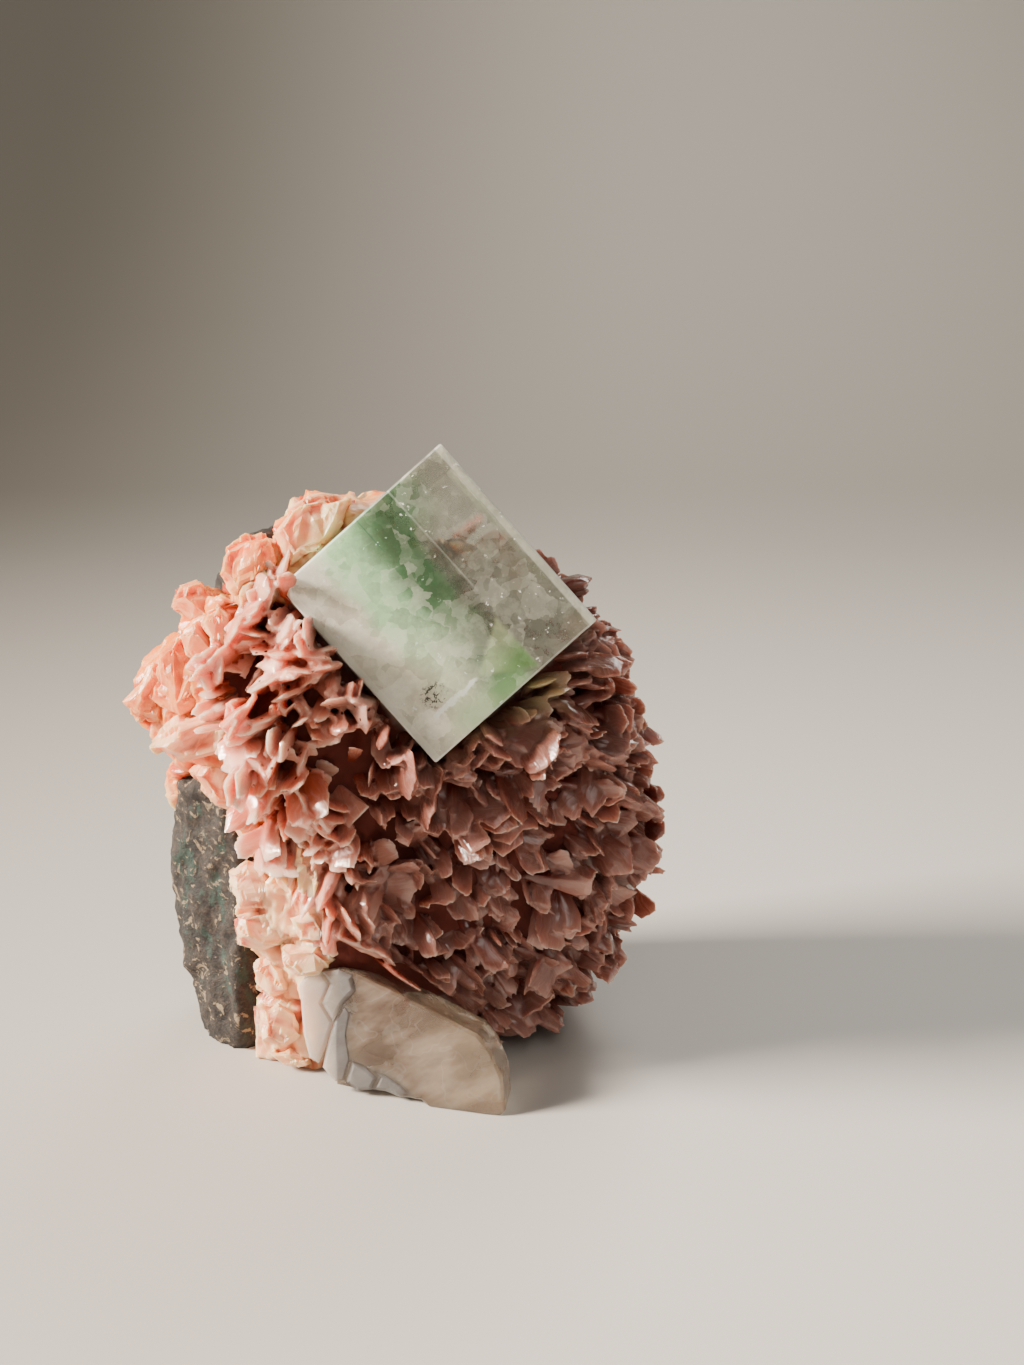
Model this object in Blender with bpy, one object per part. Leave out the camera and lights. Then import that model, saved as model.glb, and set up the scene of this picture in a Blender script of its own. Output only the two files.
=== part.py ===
# A hand specimen: one clear, near-cubic apophyllite on a druse of pink stilbite blades, grown on basalt.
# Metres, +Z up. The front, where the clear crystal faces, is -Y, and +X is to the right.
# The origin is under the middle of the specimen, on the surface that it stands on.

import math
import random

import bmesh
import bpy
from mathutils import Matrix, Vector, noise
from mathutils.bvhtree import BVHTree
from mathutils.geometry import intersect_line_plane

MM = 0.001

# Driving dimensions
GAP = 0.3 * MM                      # left between neighbours that touch
CRYSTAL_SIDE_UP = 16.4 * MM         # clear crystal, the sides that rise to the upper left
CRYSTAL_SIDE_DOWN = 17.8 * MM       # clear crystal, the sides that fall to the right
CRYSTAL_DEPTH = 16.0 * MM
CRYSTAL_BEVEL = 0.3 * MM
CRYSTAL_CHIP = 1.35 * MM            # broken off its front left corner, measured inward from the corner
CHIP_TILT = (0.75, 0.45, 0.5)       # the chip's face: to the lower left, to the upper left and to the front
CRYSTAL_SEAT = 1.6 * MM             # crust between it and the basalt
BIG_BLADE_THICKNESS = 4.6 * MM
BIG_BLADE_BEVEL = 0.7 * MM
BIG_BLADE_BACK = (0.94, 0.94, 0.90) # its back face as a share of its front face
BIG_BLADE_CLEARANCE = 5.0 * MM      # kept free in front of it
BODY_FRONT = 10.5 * MM              # from the body outline's plane forward to the front of the crust
BODY_BACK = 12.5 * MM               # from the body outline's plane back to the back of the basalt
BODY_ROUNDNESS = 0.72               # 1 is an ellipsoid, and less is boxier
BODY_ROUGHNESS = 1.1 * MM
BODY_LEDGE = 5.5 * MM               # size of the body's ledges
BED_FRONT = 5.2 * MM                # from the bed outline's plane forward to the front of the basalt
BED_BACK = 14.0 * MM                # from the bed outline's plane back, past the back of the body
BED_ROUNDNESS = 0.6
BED_ROUGHNESS = 0.8 * MM
BED_LEDGE = 5.0 * MM
LEDGE_MEAN = 0.4                    # the ledges' mean height, which keeps the lump's size
FINE_SCALE = 2.3                    # fine roughness: how much smaller than the ledges, and its share
FINE_SHARE = 0.5
ROOT_DEPTH = 2.2 * MM               # how far a druse blade's root is sunk in the crust
BLADE_REACH = (2.3 * MM, 4.0 * MM)  # how far the small blades stand out of the crust
BLADE_WIDTH = (2.2 * MM, 3.8 * MM)
BLADE_THICKNESS = 0.42              # of its width
BLADE_TAPER = 0.25                  # of its thickness, lost at the end on one side
BLADE_BEND = 0.05                   # of its length, by which that side stays back at the end
BLADE_SPACING = 2.35 * MM
BLADE_MARGIN = 0.4 * MM             # from a blade's middle line to the clear crystal and the big blade
SMALL_BLADES = 104
TRIES_PER_BLADE = 100
SEED = 11

# A druse blade's outline: shares of its width to either side, and of its length from the root
BLADE_OUTLINE = [(-0.30, 0.0), (-0.50, 0.74), (-0.10, 1.0), (0.16, 0.985), (0.50, 0.68), (0.28, 0.0)]

# How strongly a small blade follows the crust's outward direction, its own way from the centre of
# growth, and chance
BLADE_WAYS = (0.8, 0.7, 0.4)

# The viewpoint from which the outlines and the blades were read. Their coordinates are image pixels,
# from the image's top left corner.
EYE = Vector((8.5, -126.9, 74.4)) * MM
EYE_PITCH = math.radians(18.5)
EYE_FOCAL = 1620.0
EYE_MIDDLE = (512.0, 682.5)

# The plane of the whole body's outline: a point on it, and its direction away from the front
BODY_PLANE_POINT = Vector((-18.8, -1.9, 24.0)) * MM
BODY_PLANE_NORMAL = Vector((-0.14, 1.0, 0.05)).normalized()
BODY_MIDDLE = (430, 790)
BODY_OUTLINE = [
    (630, 790), (625, 860), (604, 912), (571, 957), (536, 996), (492, 1036), (443, 1070), (385, 1096),
    (320, 1112), (262, 1100), (225, 1070), (205, 1030), (197, 1005), (196, 985), (182, 955), (174, 910),
    (170, 850), (174, 800), (180, 770), (160, 752), (140, 735), (122, 712), (138, 682), (168, 640),
    (182, 600), (219, 584), (228, 558), (254, 545), (287, 524), (305, 504), (322, 498), (368, 500),
    (420, 514), (470, 542), (530, 577), (570, 607), (603, 655), (621, 720),
]

# The basalt is what the body shares with the bed, a second lump with an outline and a plane of its own
BED_PLANE_NORMAL = Vector((-0.50, 0.87, 0.0)).normalized()
BED_PLANE_POINT = BED_PLANE_NORMAL * 7.9 * MM
BED_MIDDLE = (330, 800)
BED_OUTLINE = [
    (540, 800), (520, 900), (460, 980), (380, 1050), (300, 1090), (230, 1100), (150, 1060), (110, 980),
    (105, 900), (110, 840), (140, 800), (187, 785), (232, 745), (250, 680), (238, 620), (214, 560),
    (228, 528), (268, 520), (330, 524), (400, 550), (470, 610), (515, 700),
]

# The broken side at the left front: its outward direction and its distance from the origin,
# with a lobe of crust that stands out of it
BREAK_NORMAL = Vector((-0.56, -0.83, 0.0)).normalized()
BREAK_DISTANCE = 11.9 * MM
BREAK_PRESS = 0.92                  # the share of what stands past it that is pressed back
BREAK_ROUGHNESS = 0.9 * MM
BREAK_GRAIN = 3.0 * MM
BREAK_FADE = 2.0 * MM               # the roughness is full where this much is pressed back
LOBE_HEIGHT = 31.0 * MM
LOBE_HALF = 7.0 * MM
LOBE_REACH = 2.9 * MM

# Where the crust carries no blades: at the rim in these directions from the body's middle, past a
# share of the outline's reach, near the broken side, near the ground and on the back
BARE_FROM = math.radians(95)
BARE_TO = math.radians(200)
BARE_SHARE = 0.80
BARE_BESIDE_BREAK = 1.3 * MM
BARE_HEIGHT = 2.5 * MM
BACK_LIMIT = -0.3                   # of a direction's share toward the front
SIDE_LIMIT = 0.45                   # of that share and the share to the right or upward together
UPWARD_WEIGHT = 0.8

# Where the druse's blades spread from, inside the specimen
GROWTH_CENTRE = Vector((-9.8, 4.1, 33.0)) * MM

# The clear crystal's front face: its middle, the pixel in line with which it faces the eye squarely,
# and its corners
CRYSTAL_MIDDLE = (438, 604)
CRYSTAL_FACES = (505, 590)
CRYSTAL_DISTANCE = 122.5 * MM       # from the viewpoint to the front face
CRYSTAL_CORNERS = {"top": (439, 445), "left": (280, 588), "bottom": (436, 763), "right": (600, 618)}

# The big blade's front face: a line on the ground, its lean, and its outline
BIG_BLADE_FOOT = Vector((7.5, -14.5, 0.0)) * MM
BIG_BLADE_RUN = Vector((-16.3, 3.9, 0.0)).normalized()
BIG_BLADE_LEAN = math.radians(10.0)
BIG_BLADE_OUTLINE = [
    (335, 968), (359, 975), (477, 1034), (492, 1051), (503, 1078), (506, 1112), (500, 1118), (449, 1119),
    (431, 1112), (421, 1100), (385, 1091), (331, 1084), (312, 1062), (298, 1010), (300, 978),
]

# The druse's large blades: root and tip as pixels, width and the turn of the broad side about its length
LARGE_BLADES = [
    {"root": (313, 705), "tip": (336, 755), "width": 3.0, "turn": 20},
    {"root": (335, 712), "tip": (356, 738), "width": 2.0, "turn": -30},
    {"root": (378, 712), "tip": (377, 788), "width": 2.3, "turn": 10},
    {"root": (268, 745), "tip": (319, 752), "width": 1.8, "turn": 50},
    {"root": (284, 778), "tip": (341, 780), "width": 2.0, "turn": 40},
    {"root": (330, 787), "tip": (371, 822), "width": 3.4, "turn": 15},
    {"root": (380, 795), "tip": (400, 826), "width": 2.4, "turn": -20},
    {"root": (424, 741), "tip": (418, 797), "width": 3.0, "turn": 5},
    {"root": (455, 770), "tip": (484, 842), "width": 3.4, "turn": 15},
    {"root": (442, 775), "tip": (461, 840), "width": 2.4, "turn": -25},
    {"root": (340, 877), "tip": (382, 869), "width": 1.7, "turn": 70},
    {"root": (362, 905), "tip": (426, 900), "width": 3.2, "turn": 20},
    {"root": (368, 912), "tip": (397, 939), "width": 2.8, "turn": -15},
    {"root": (350, 860), "tip": (392, 840), "width": 3.0, "turn": 25},
    {"root": (402, 850), "tip": (424, 813), "width": 2.2, "turn": 35},
    {"root": (385, 865), "tip": (431, 856), "width": 1.8, "turn": 60},
    {"root": (562, 850), "tip": (584, 912), "width": 3.2, "turn": 10},
    {"root": (590, 840), "tip": (637, 878), "width": 3.2, "turn": 20},
    {"root": (590, 800), "tip": (628, 815), "width": 2.2, "turn": -30},
    {"root": (568, 745), "tip": (609, 714), "width": 3.1, "turn": 15},
    {"root": (590, 752), "tip": (578, 842), "width": 3.4, "turn": 5},
    {"root": (548, 722), "tip": (542, 828), "width": 2.2, "turn": -10},
    {"root": (500, 812), "tip": (515, 862), "width": 3.4, "turn": 10},
    {"root": (532, 866), "tip": (571, 846), "width": 2.8, "turn": 30},
    {"root": (470, 850), "tip": (465, 904), "width": 2.2, "turn": -20},
    {"root": (540, 868), "tip": (541, 923), "width": 2.4, "turn": 15},
    {"root": (455, 930), "tip": (483, 948), "width": 3.0, "turn": 10},
    {"root": (500, 905), "tip": (530, 940), "width": 3.0, "turn": 30},
    {"root": (488, 962), "tip": (520, 957), "width": 1.6, "turn": 65},
    {"root": (446, 942), "tip": (465, 995), "width": 2.4, "turn": 10},
    {"root": (405, 985), "tip": (437, 996), "width": 2.2, "turn": -25},
    {"root": (390, 955), "tip": (383, 990), "width": 1.5, "turn": 55},
    {"root": (590, 652), "tip": (629, 666), "width": 2.6, "turn": 20},
    {"root": (530, 692), "tip": (588, 690), "width": 2.8, "turn": 30},
    {"root": (490, 718), "tip": (513, 754), "width": 2.8, "turn": -10},
    {"root": (262, 633), "tip": (240, 676), "width": 2.4, "turn": 20},
    {"root": (286, 636), "tip": (303, 701), "width": 1.9, "turn": -15},
    {"root": (250, 590), "tip": (284, 600), "width": 3.2, "turn": 10},
    {"root": (345, 645), "tip": (352, 690), "width": 2.6, "turn": 20},
]
LARGE_LIFT = 2.4 * MM               # how far a large blade's tip stands in front of the crust


def clear_scene():
    for item in list(bpy.data.objects):
        bpy.data.objects.remove(item, do_unlink=True)


def view_ray(pixel):
    across = (pixel[0] - EYE_MIDDLE[0]) / EYE_FOCAL
    down = (pixel[1] - EYE_MIDDLE[1]) / EYE_FOCAL
    forward = Vector((across, math.cos(EYE_PITCH), -math.sin(EYE_PITCH)))
    upward = Vector((0.0, math.sin(EYE_PITCH), math.cos(EYE_PITCH)))
    return forward - down * upward


def on_plane(pixel, point, normal):
    return intersect_line_plane(EYE, EYE + view_ray(pixel), point, normal)


def material(name, colour, roughness, alpha=1.0):
    made = bpy.data.materials.new(name)
    made.use_nodes = True
    shader = made.node_tree.nodes["Principled BSDF"]
    shader.inputs["Base Color"].default_value = (*colour, 1.0)
    shader.inputs["Roughness"].default_value = roughness
    shader.inputs["Metallic"].default_value = 0.0
    shader.inputs["Alpha"].default_value = alpha
    made.diffuse_color = (*colour, alpha)
    return made


def mesh_object(name, shape, finish):
    bmesh.ops.recalc_face_normals(shape, faces=shape.faces)
    mesh = bpy.data.meshes.new(name)
    shape.to_mesh(mesh)
    shape.free()
    item = bpy.data.objects.new(name, mesh)
    bpy.context.scene.collection.objects.link(item)
    if finish:
        mesh.materials.append(finish)
    else:
        item.hide_render = True
        item.display_type = "WIRE"
    return item


def boolean(item, operation, other):
    step = item.modifiers.new(operation.lower(), "BOOLEAN")
    step.operation = operation
    step.solver = "EXACT"
    step.object = other
    depsgraph = bpy.context.evaluated_depsgraph_get()
    result = bpy.data.meshes.new_from_object(item.evaluated_get(depsgraph))
    item.modifiers.clear()
    item.data = result


def closed_volume(mesh):
    # A mesh's volume, or nothing if it isn't closed
    shape = bmesh.new()
    shape.from_mesh(mesh)
    closed = all(edge.is_manifold for edge in shape.edges)
    volume = shape.calc_volume() if closed else 0.0
    shape.free()
    return volume


def grown_copy(item, distance):
    # A cutter: the same shape, moved outward all over
    shape = bmesh.new()
    shape.from_mesh(item.data)
    shape.normal_update()
    moves = [vert.normal * distance for vert in shape.verts]
    for vert, move in zip(shape.verts, moves):
        vert.co += move
    return mesh_object(item.name + "_room", shape, None)


class Outline:
    # A closed outline on a plane, as a distance from its middle for each direction

    def __init__(self, point, normal, middle, pixels):
        self.normal = normal
        self.middle = on_plane(middle, point, normal)
        self.across = normal.cross(Vector((0, 0, 1))).normalized()
        self.upward = self.across.cross(normal)
        spots = [on_plane(pixel, point, normal) - self.middle for pixel in pixels]
        polar = sorted((self.angle(spot), spot.length) for spot in spots)
        first = (polar[0][0] + math.tau, polar[0][1])
        last = (polar[-1][0] - math.tau, polar[-1][1])
        self.polar = [last] + polar + [first]

    def angle(self, offset):
        return math.atan2(offset.dot(self.upward), offset.dot(self.across))

    def reach(self, angle):
        for (low, near), (high, far) in zip(self.polar, self.polar[1:]):
            if low <= angle <= high:
                return near + (far - near) * (angle - low) / (high - low)
        return self.polar[0][1]

    def place(self, spot):
        # The direction of a spot, and how far out it is as a share of the outline's reach
        offset = spot - self.middle
        angle = self.angle(offset)
        flat = offset - self.normal * offset.dot(self.normal)
        return angle, flat.length / self.reach(angle)


def lump(outline, front, back, roundness, roughness, ledge_size):
    # A rough lump with the outline's reach sideways, and its own depth to the front and the back
    shape = bmesh.new()
    bmesh.ops.create_icosphere(shape, subdivisions=4, radius=1.0)
    for vert in shape.verts:
        way = vert.co.copy()
        angle = math.atan2(way.z, way.x)
        side = math.hypot(way.x, way.z) ** roundness
        depth = math.copysign(abs(way.y) ** roundness, way.y) * (back if way.y > 0 else front)
        reach = outline.reach(angle) * side
        spot = outline.middle + outline.normal * depth
        spot += outline.across * reach * math.cos(angle) + outline.upward * reach * math.sin(angle)
        outward = (spot - outline.middle).normalized()
        ledge = noise.voronoi(spot / ledge_size)[0][0] - LEDGE_MEAN
        fine = noise.noise(spot / ledge_size * FINE_SCALE)
        spot += outward * roughness * (ledge + FINE_SHARE * fine)
        vert.co = spot
    return shape


def break_side(shape):
    # Presses what stands past the broken side back onto a rough, nearly flat face
    for vert in shape.verts:
        lobe = max(0.0, 1.0 - ((vert.co.z - LOBE_HEIGHT) / LOBE_HALF) ** 2)
        past = vert.co.dot(BREAK_NORMAL) - BREAK_DISTANCE - LOBE_REACH * lobe
        if past > 0:
            rough = BREAK_ROUGHNESS * noise.fractal(vert.co / BREAK_GRAIN, 1.0, 2.0, 3)
            vert.co -= BREAK_NORMAL * (past * BREAK_PRESS - rough * min(1.0, past / BREAK_FADE))


def cut_flat(shape, point, outward):
    # Cuts off what lies past a plane, and closes the cut with one flat face
    whole = shape.verts[:] + shape.edges[:] + shape.faces[:]
    cut = bmesh.ops.bisect_plane(shape, geom=whole, plane_co=point, plane_no=outward, clear_outer=True)
    rim = [item for item in cut["geom_cut"] if isinstance(item, bmesh.types.BMEdge)]
    bmesh.ops.edgeloop_fill(shape, edges=rim)


def cut_foot(shape):
    cut_flat(shape, Vector((0, 0, 0)), Vector((0, 0, -1)))


def make_body(name, finish):
    outline = Outline(BODY_PLANE_POINT, BODY_PLANE_NORMAL, BODY_MIDDLE, BODY_OUTLINE)
    shape = lump(outline, BODY_FRONT, BODY_BACK, BODY_ROUNDNESS, BODY_ROUGHNESS, BODY_LEDGE)
    break_side(shape)
    cut_foot(shape)
    return mesh_object(name, shape, finish), outline


def make_bed(crystal):
    # The basalt's bed stays clear of the clear crystal, which is seated in the crust
    outline = Outline(BED_PLANE_POINT, BED_PLANE_NORMAL, BED_MIDDLE, BED_OUTLINE)
    shape = lump(outline, BED_FRONT, BED_BACK, BED_ROUNDNESS, BED_ROUGHNESS, BED_LEDGE)
    bed = mesh_object("basalt_bed", shape, None)
    seat = grown_copy(crystal, CRYSTAL_SEAT)
    boolean(bed, "DIFFERENCE", seat)
    bpy.data.objects.remove(seat, do_unlink=True)
    return bed


def keep_largest(item):
    # Drops the crumbs that a cut leaves beside the piece
    shape = bmesh.new()
    shape.from_mesh(item.data)
    left = set(shape.verts)
    islands = []
    while left:
        island = [left.pop()]
        for vert in island:
            near = {edge.other_vert(vert) for edge in vert.link_edges} & left
            left -= near
            island.extend(near)
        islands.append(island)
    islands.sort(key=len)
    crumbs = [vert for island in islands[:-1] for vert in island]
    bmesh.ops.delete(shape, geom=crumbs, context="VERTS")
    shape.to_mesh(item.data)
    shape.free()


def crystal_frame():
    # The middle of the front face, its outward direction and the directions of its sides
    outward = -view_ray(CRYSTAL_FACES).normalized()
    middle = EYE + view_ray(CRYSTAL_MIDDLE) * CRYSTAL_DISTANCE
    corner = {name: on_plane(pixel, middle, outward) for name, pixel in CRYSTAL_CORNERS.items()}
    rising = (corner["top"] - corner["left"] + corner["right"] - corner["bottom"]).normalized()
    falling = rising.cross(outward).normalized()
    return middle, outward, rising, falling


def make_crystal(finish):
    middle, outward, rising, falling = crystal_frame()
    shape = bmesh.new()
    bmesh.ops.create_cube(shape, size=1.0)
    bmesh.ops.scale(shape, verts=shape.verts, vec=(CRYSTAL_SIDE_UP, CRYSTAL_SIDE_DOWN, CRYSTAL_DEPTH))
    axes = Matrix((rising, falling, outward)).transposed().to_4x4()
    axes.translation = middle - outward * CRYSTAL_DEPTH / 2
    bmesh.ops.transform(shape, matrix=axes, verts=shape.verts)
    left_corner = middle - rising * CRYSTAL_SIDE_UP / 2 - falling * CRYSTAL_SIDE_DOWN / 2
    low, high, front = CHIP_TILT
    toward = (outward * front - rising * low - falling * high).normalized()
    cut_flat(shape, left_corner - toward * CRYSTAL_CHIP, toward)
    bmesh.ops.bevel(
        shape, geom=shape.edges[:], offset=CRYSTAL_BEVEL, offset_type="OFFSET", segments=1, profile=0.5,
        affect="EDGES", clamp_overlap=True, material=-1)
    return mesh_object("apophyllite_crystal", shape, finish)


def big_blade_slab(front, thickness):
    # The blade's outline as a slab, from a distance in front of its face back through its thickness
    level = Vector((0, 0, 1)).cross(BIG_BLADE_RUN).normalized()
    outward = level * math.cos(BIG_BLADE_LEAN) + Vector((0, 0, math.sin(BIG_BLADE_LEAN)))
    shape = bmesh.new()
    rim = [shape.verts.new(on_plane(pixel, BIG_BLADE_FOOT, outward)) for pixel in BIG_BLADE_OUTLINE]
    face = shape.faces.new(rim)
    bmesh.ops.translate(shape, verts=rim, vec=outward * front)
    grown = bmesh.ops.extrude_face_region(shape, geom=[face])
    back = [item for item in grown["geom"] if isinstance(item, bmesh.types.BMVert)]
    bmesh.ops.translate(shape, verts=back, vec=-outward * (front + thickness))
    bmesh.ops.recalc_face_normals(shape, faces=shape.faces)
    return shape, back


def make_big_blade(finish):
    shape, back = big_blade_slab(0.0, BIG_BLADE_THICKNESS)
    middle = sum((vert.co for vert in back), Vector()) / len(back)
    bmesh.ops.scale(shape, verts=back, vec=BIG_BLADE_BACK, space=Matrix.Translation(-middle))
    bmesh.ops.bevel(
        shape, geom=shape.edges[:], offset=BIG_BLADE_BEVEL, offset_type="OFFSET", segments=1,
        profile=0.5, affect="EDGES", clamp_overlap=True, material=-1)
    cut_foot(shape)
    return mesh_object("stilbite_blade", shape, finish)


def make_big_blade_room():
    # The crust stands back from the blade, and nothing of it hides the blade's front
    shape, _ = big_blade_slab(BIG_BLADE_CLEARANCE, BIG_BLADE_THICKNESS + GAP)
    shape.normal_update()
    for vert in shape.verts:
        vert.co += vert.normal * GAP
    return mesh_object("stilbite_blade_room", shape, None)


def add_blade(crust, root, tip, width, broad):
    # One crystal: narrow at its root, widest near its end, with a blunt chisel point
    shape = bmesh.new()
    length = (tip - root).length
    along = (tip - root) / length
    across = along.cross(broad).normalized()
    broad = across.cross(along)
    thick = width * BLADE_THICKNESS
    rim = [shape.verts.new(root + across * width * a + along * length * b) for a, b in BLADE_OUTLINE]
    face = shape.faces.new(rim)
    face.normal_update()
    toward = face.normal
    grown = bmesh.ops.extrude_face_region(shape, geom=[face])
    lifted = [item for item in grown["geom"] if isinstance(item, bmesh.types.BMVert)]
    bmesh.ops.translate(shape, verts=lifted, vec=toward * thick)
    for vert in lifted:
        share = (vert.co - root).dot(along) / length
        vert.co -= along * length * BLADE_BEND * share + toward * thick * BLADE_TAPER * share
    blade = mesh_object("blade", shape, None)
    before = crust.data
    boolean(crust, "UNION", blade)
    bpy.data.objects.remove(blade, do_unlink=True)
    if closed_volume(crust.data) <= closed_volume(before):
        crust.data = before         # the join failed, so this blade is left out


def turned(along, broad, degrees):
    return Matrix.Rotation(math.radians(degrees), 3, along) @ broad


def is_clear(spot, is_end, guests):
    # True where the spot is outside the clear crystal and the big blade. The end of a blade mustn't
    # stand in front of them either.
    ray = spot - EYE
    for guest in guests:
        nearest, normal, _, away = guest.find_nearest(spot)
        if away < BLADE_MARGIN or (spot - nearest).dot(normal) < 0:
            return False
        beyond, _, _, _ = guest.ray_cast(spot, ray)
        if beyond is not None and is_end:
            return False
    return True


def blade_is_clear(root, tip, guests):
    half = root.lerp(tip, 0.5)
    late = root.lerp(tip, 0.75)
    return is_clear(half, False, guests) and is_clear(late, True, guests) and is_clear(tip, True, guests)


def large_blades(crust, tree, guests):
    spots = []
    for entry in LARGE_BLADES:
        ray = view_ray(entry["root"]).normalized()
        root, _, _, _ = tree.ray_cast(EYE, ray)
        tip_ray = view_ray(entry["tip"]).normalized()
        under, _, _, _ = tree.ray_cast(EYE, tip_ray)
        if root is None:
            continue
        if under is None:
            under = intersect_line_plane(EYE, EYE + tip_ray, root, Vector((0, 1, 0)))
        tip = under - tip_ray * LARGE_LIFT
        root = root - (tip - root).normalized() * ROOT_DEPTH + ray * ROOT_DEPTH * 0.5
        broad = turned((tip - root).normalized(), -tip_ray, entry["turn"])
        if blade_is_clear(root, tip, guests):
            add_blade(crust, root, tip, entry["width"] * MM, broad)
            spots.append(under)
    return spots


def on_druse(spot, normal, outline):
    angle, share = outline.place(spot)
    at_rim = BARE_FROM < angle % math.tau < BARE_TO and share > BARE_SHARE
    by_break = spot.dot(BREAK_NORMAL) > BREAK_DISTANCE - BARE_BESIDE_BREAK
    facing = -normal.dot(BODY_PLANE_NORMAL)
    aside = max(normal.x, normal.z * UPWARD_WEIGHT)
    at_back = facing < BACK_LIMIT or facing + aside < SIDE_LIMIT
    return not (at_rim or by_break or at_back) and spot.z > BARE_HEIGHT


def small_blades(crust, bare, outline, taken, guests):
    draw = random.Random(SEED)
    bare.calc_loop_triangles()
    corners = [vert.co for vert in bare.vertices]
    triangles = list(bare.loop_triangles)
    areas = [tri.area for tri in triangles]
    outward_share, growth_share, chance_share = BLADE_WAYS
    placed = 0
    for tri in draw.choices(triangles, weights=areas, k=TRIES_PER_BLADE * SMALL_BLADES):
        if placed >= SMALL_BLADES:
            break
        one, two = sorted((draw.random(), draw.random()))
        a, b, c = (corners[index] for index in tri.vertices)
        spot = a * one + b * (two - one) + c * (1.0 - two)
        normal = Vector(tri.normal)
        chance = Vector((draw.uniform(-1, 1), draw.uniform(-1, 1), draw.uniform(-1, 1)))
        reach = draw.uniform(*BLADE_REACH)
        width = draw.uniform(*BLADE_WIDTH)
        turn = draw.uniform(0, 360)
        grown = (spot - GROWTH_CENTRE).normalized()
        along = (normal * outward_share + grown * growth_share + chance * chance_share).normalized()
        tip = spot + along * reach
        crowded = any((spot - other).length < BLADE_SPACING for other in taken)
        too_low = tip.z - width / 2 < GAP
        if crowded or too_low or not on_druse(spot, normal, outline):
            continue
        if not blade_is_clear(spot, tip, guests):
            continue
        add_blade(crust, spot - along * ROOT_DEPTH, tip, width, turned(along, along.orthogonal(), turn))
        taken.append(spot)
        placed += 1


def grow_blades(crust, outline, neighbours):
    depsgraph = bpy.context.evaluated_depsgraph_get()
    tree = BVHTree.FromObject(crust, depsgraph)
    guests = [BVHTree.FromObject(neighbour, depsgraph) for neighbour in neighbours]
    bare = crust.data.copy()
    taken = large_blades(crust, tree, guests)
    small_blades(crust, bare, outline, taken, guests)


def main():
    clear_scene()
    crystal = make_crystal(material("apophyllite", (0.62, 0.80, 0.68), 0.08, 0.55))
    big_blade = make_big_blade(material("pale stilbite", (0.72, 0.64, 0.56), 0.25, 0.7))
    bed = make_bed(crystal)
    basalt, _ = make_body("basalt_matrix", material("basalt", (0.13, 0.11, 0.10), 0.85))
    boolean(basalt, "INTERSECT", bed)
    druse, outline = make_body("stilbite_druse", material("pink stilbite", (0.80, 0.47, 0.38), 0.35))
    grow_blades(druse, outline, (crystal, big_blade))
    for room in (grown_copy(bed, GAP), grown_copy(crystal, GAP), make_big_blade_room()):
        boolean(druse, "DIFFERENCE", room)
        bpy.data.objects.remove(room, do_unlink=True)
    bpy.data.objects.remove(bed, do_unlink=True)
    for piece in (basalt, druse):
        keep_largest(piece)


main()
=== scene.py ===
# The looks of a mineral specimen: a clear apophyllite crystal on a druse of pink stilbite blades,
# on basalt, with one large pale blade at the foot. Metres, +Z up, the front toward -Y.

import math
import random

import bmesh
import bpy
from mathutils import Matrix, Vector, noise
from mathutils.bvhtree import BVHTree
from mathutils.geometry import intersect_line_plane


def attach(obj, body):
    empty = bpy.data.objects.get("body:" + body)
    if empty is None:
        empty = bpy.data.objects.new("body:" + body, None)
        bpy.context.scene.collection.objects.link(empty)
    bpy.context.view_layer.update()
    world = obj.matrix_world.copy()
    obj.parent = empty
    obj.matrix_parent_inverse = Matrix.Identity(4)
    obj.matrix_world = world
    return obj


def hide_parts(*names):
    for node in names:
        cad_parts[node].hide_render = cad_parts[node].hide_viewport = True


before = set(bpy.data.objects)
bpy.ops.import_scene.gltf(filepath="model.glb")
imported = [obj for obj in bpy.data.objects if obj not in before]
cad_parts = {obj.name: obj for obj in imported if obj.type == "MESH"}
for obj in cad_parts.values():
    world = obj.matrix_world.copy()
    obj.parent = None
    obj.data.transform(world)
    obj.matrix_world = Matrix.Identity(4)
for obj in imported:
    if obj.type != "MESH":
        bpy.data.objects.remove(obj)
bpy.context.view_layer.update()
mm = 0.001
up = Vector((0, 0, 1))

# The viewpoint. Pixels are those of a frame 1024 wide and 1365 high, from its top left corner.
view = {
    "eye": Vector((8.5, -126.9, 74.4)) * mm,
    "pitch": math.radians(18.5),
    "focal": 1620.0,
    "middle": (512.0, 682.5),
    "frameHeight": 1365.0,
}


def viewRay(pixel):
    across = (pixel[0] - view["middle"][0]) / view["focal"]
    down = (pixel[1] - view["middle"][1]) / view["focal"]
    forward = Vector((across, math.cos(view["pitch"]), -math.sin(view["pitch"])))
    return forward - down * Vector((0, math.sin(view["pitch"]), math.cos(view["pitch"])))


def onPlane(pixel, point, normal):
    return intersect_line_plane(view["eye"], view["eye"] + viewRay(pixel), point, normal)


def toPixel(spot):
    offset = spot - view["eye"]
    forward = Vector((0, math.cos(view["pitch"]), -math.sin(view["pitch"])))
    level = Vector((0, math.sin(view["pitch"]), math.cos(view["pitch"])))
    scale = view["focal"] / offset.dot(forward)
    return Vector((view["middle"][0] + offset.x * scale, view["middle"][1] - offset.dot(level) * scale))


def placeCamera():
    lens = bpy.data.cameras.new("viewCamera")
    lens.sensor_fit = "VERTICAL"
    lens.sensor_height = 36.0
    lens.lens = lens.sensor_height * view["focal"] / view["frameHeight"]
    lens.clip_start = 1 * mm
    camera = linked(bpy.data.objects.new("viewCamera", lens))
    camera.location = view["eye"]
    camera.rotation_euler = (math.pi / 2 - view["pitch"], 0, 0)
    bpy.context.scene.camera = camera


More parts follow.
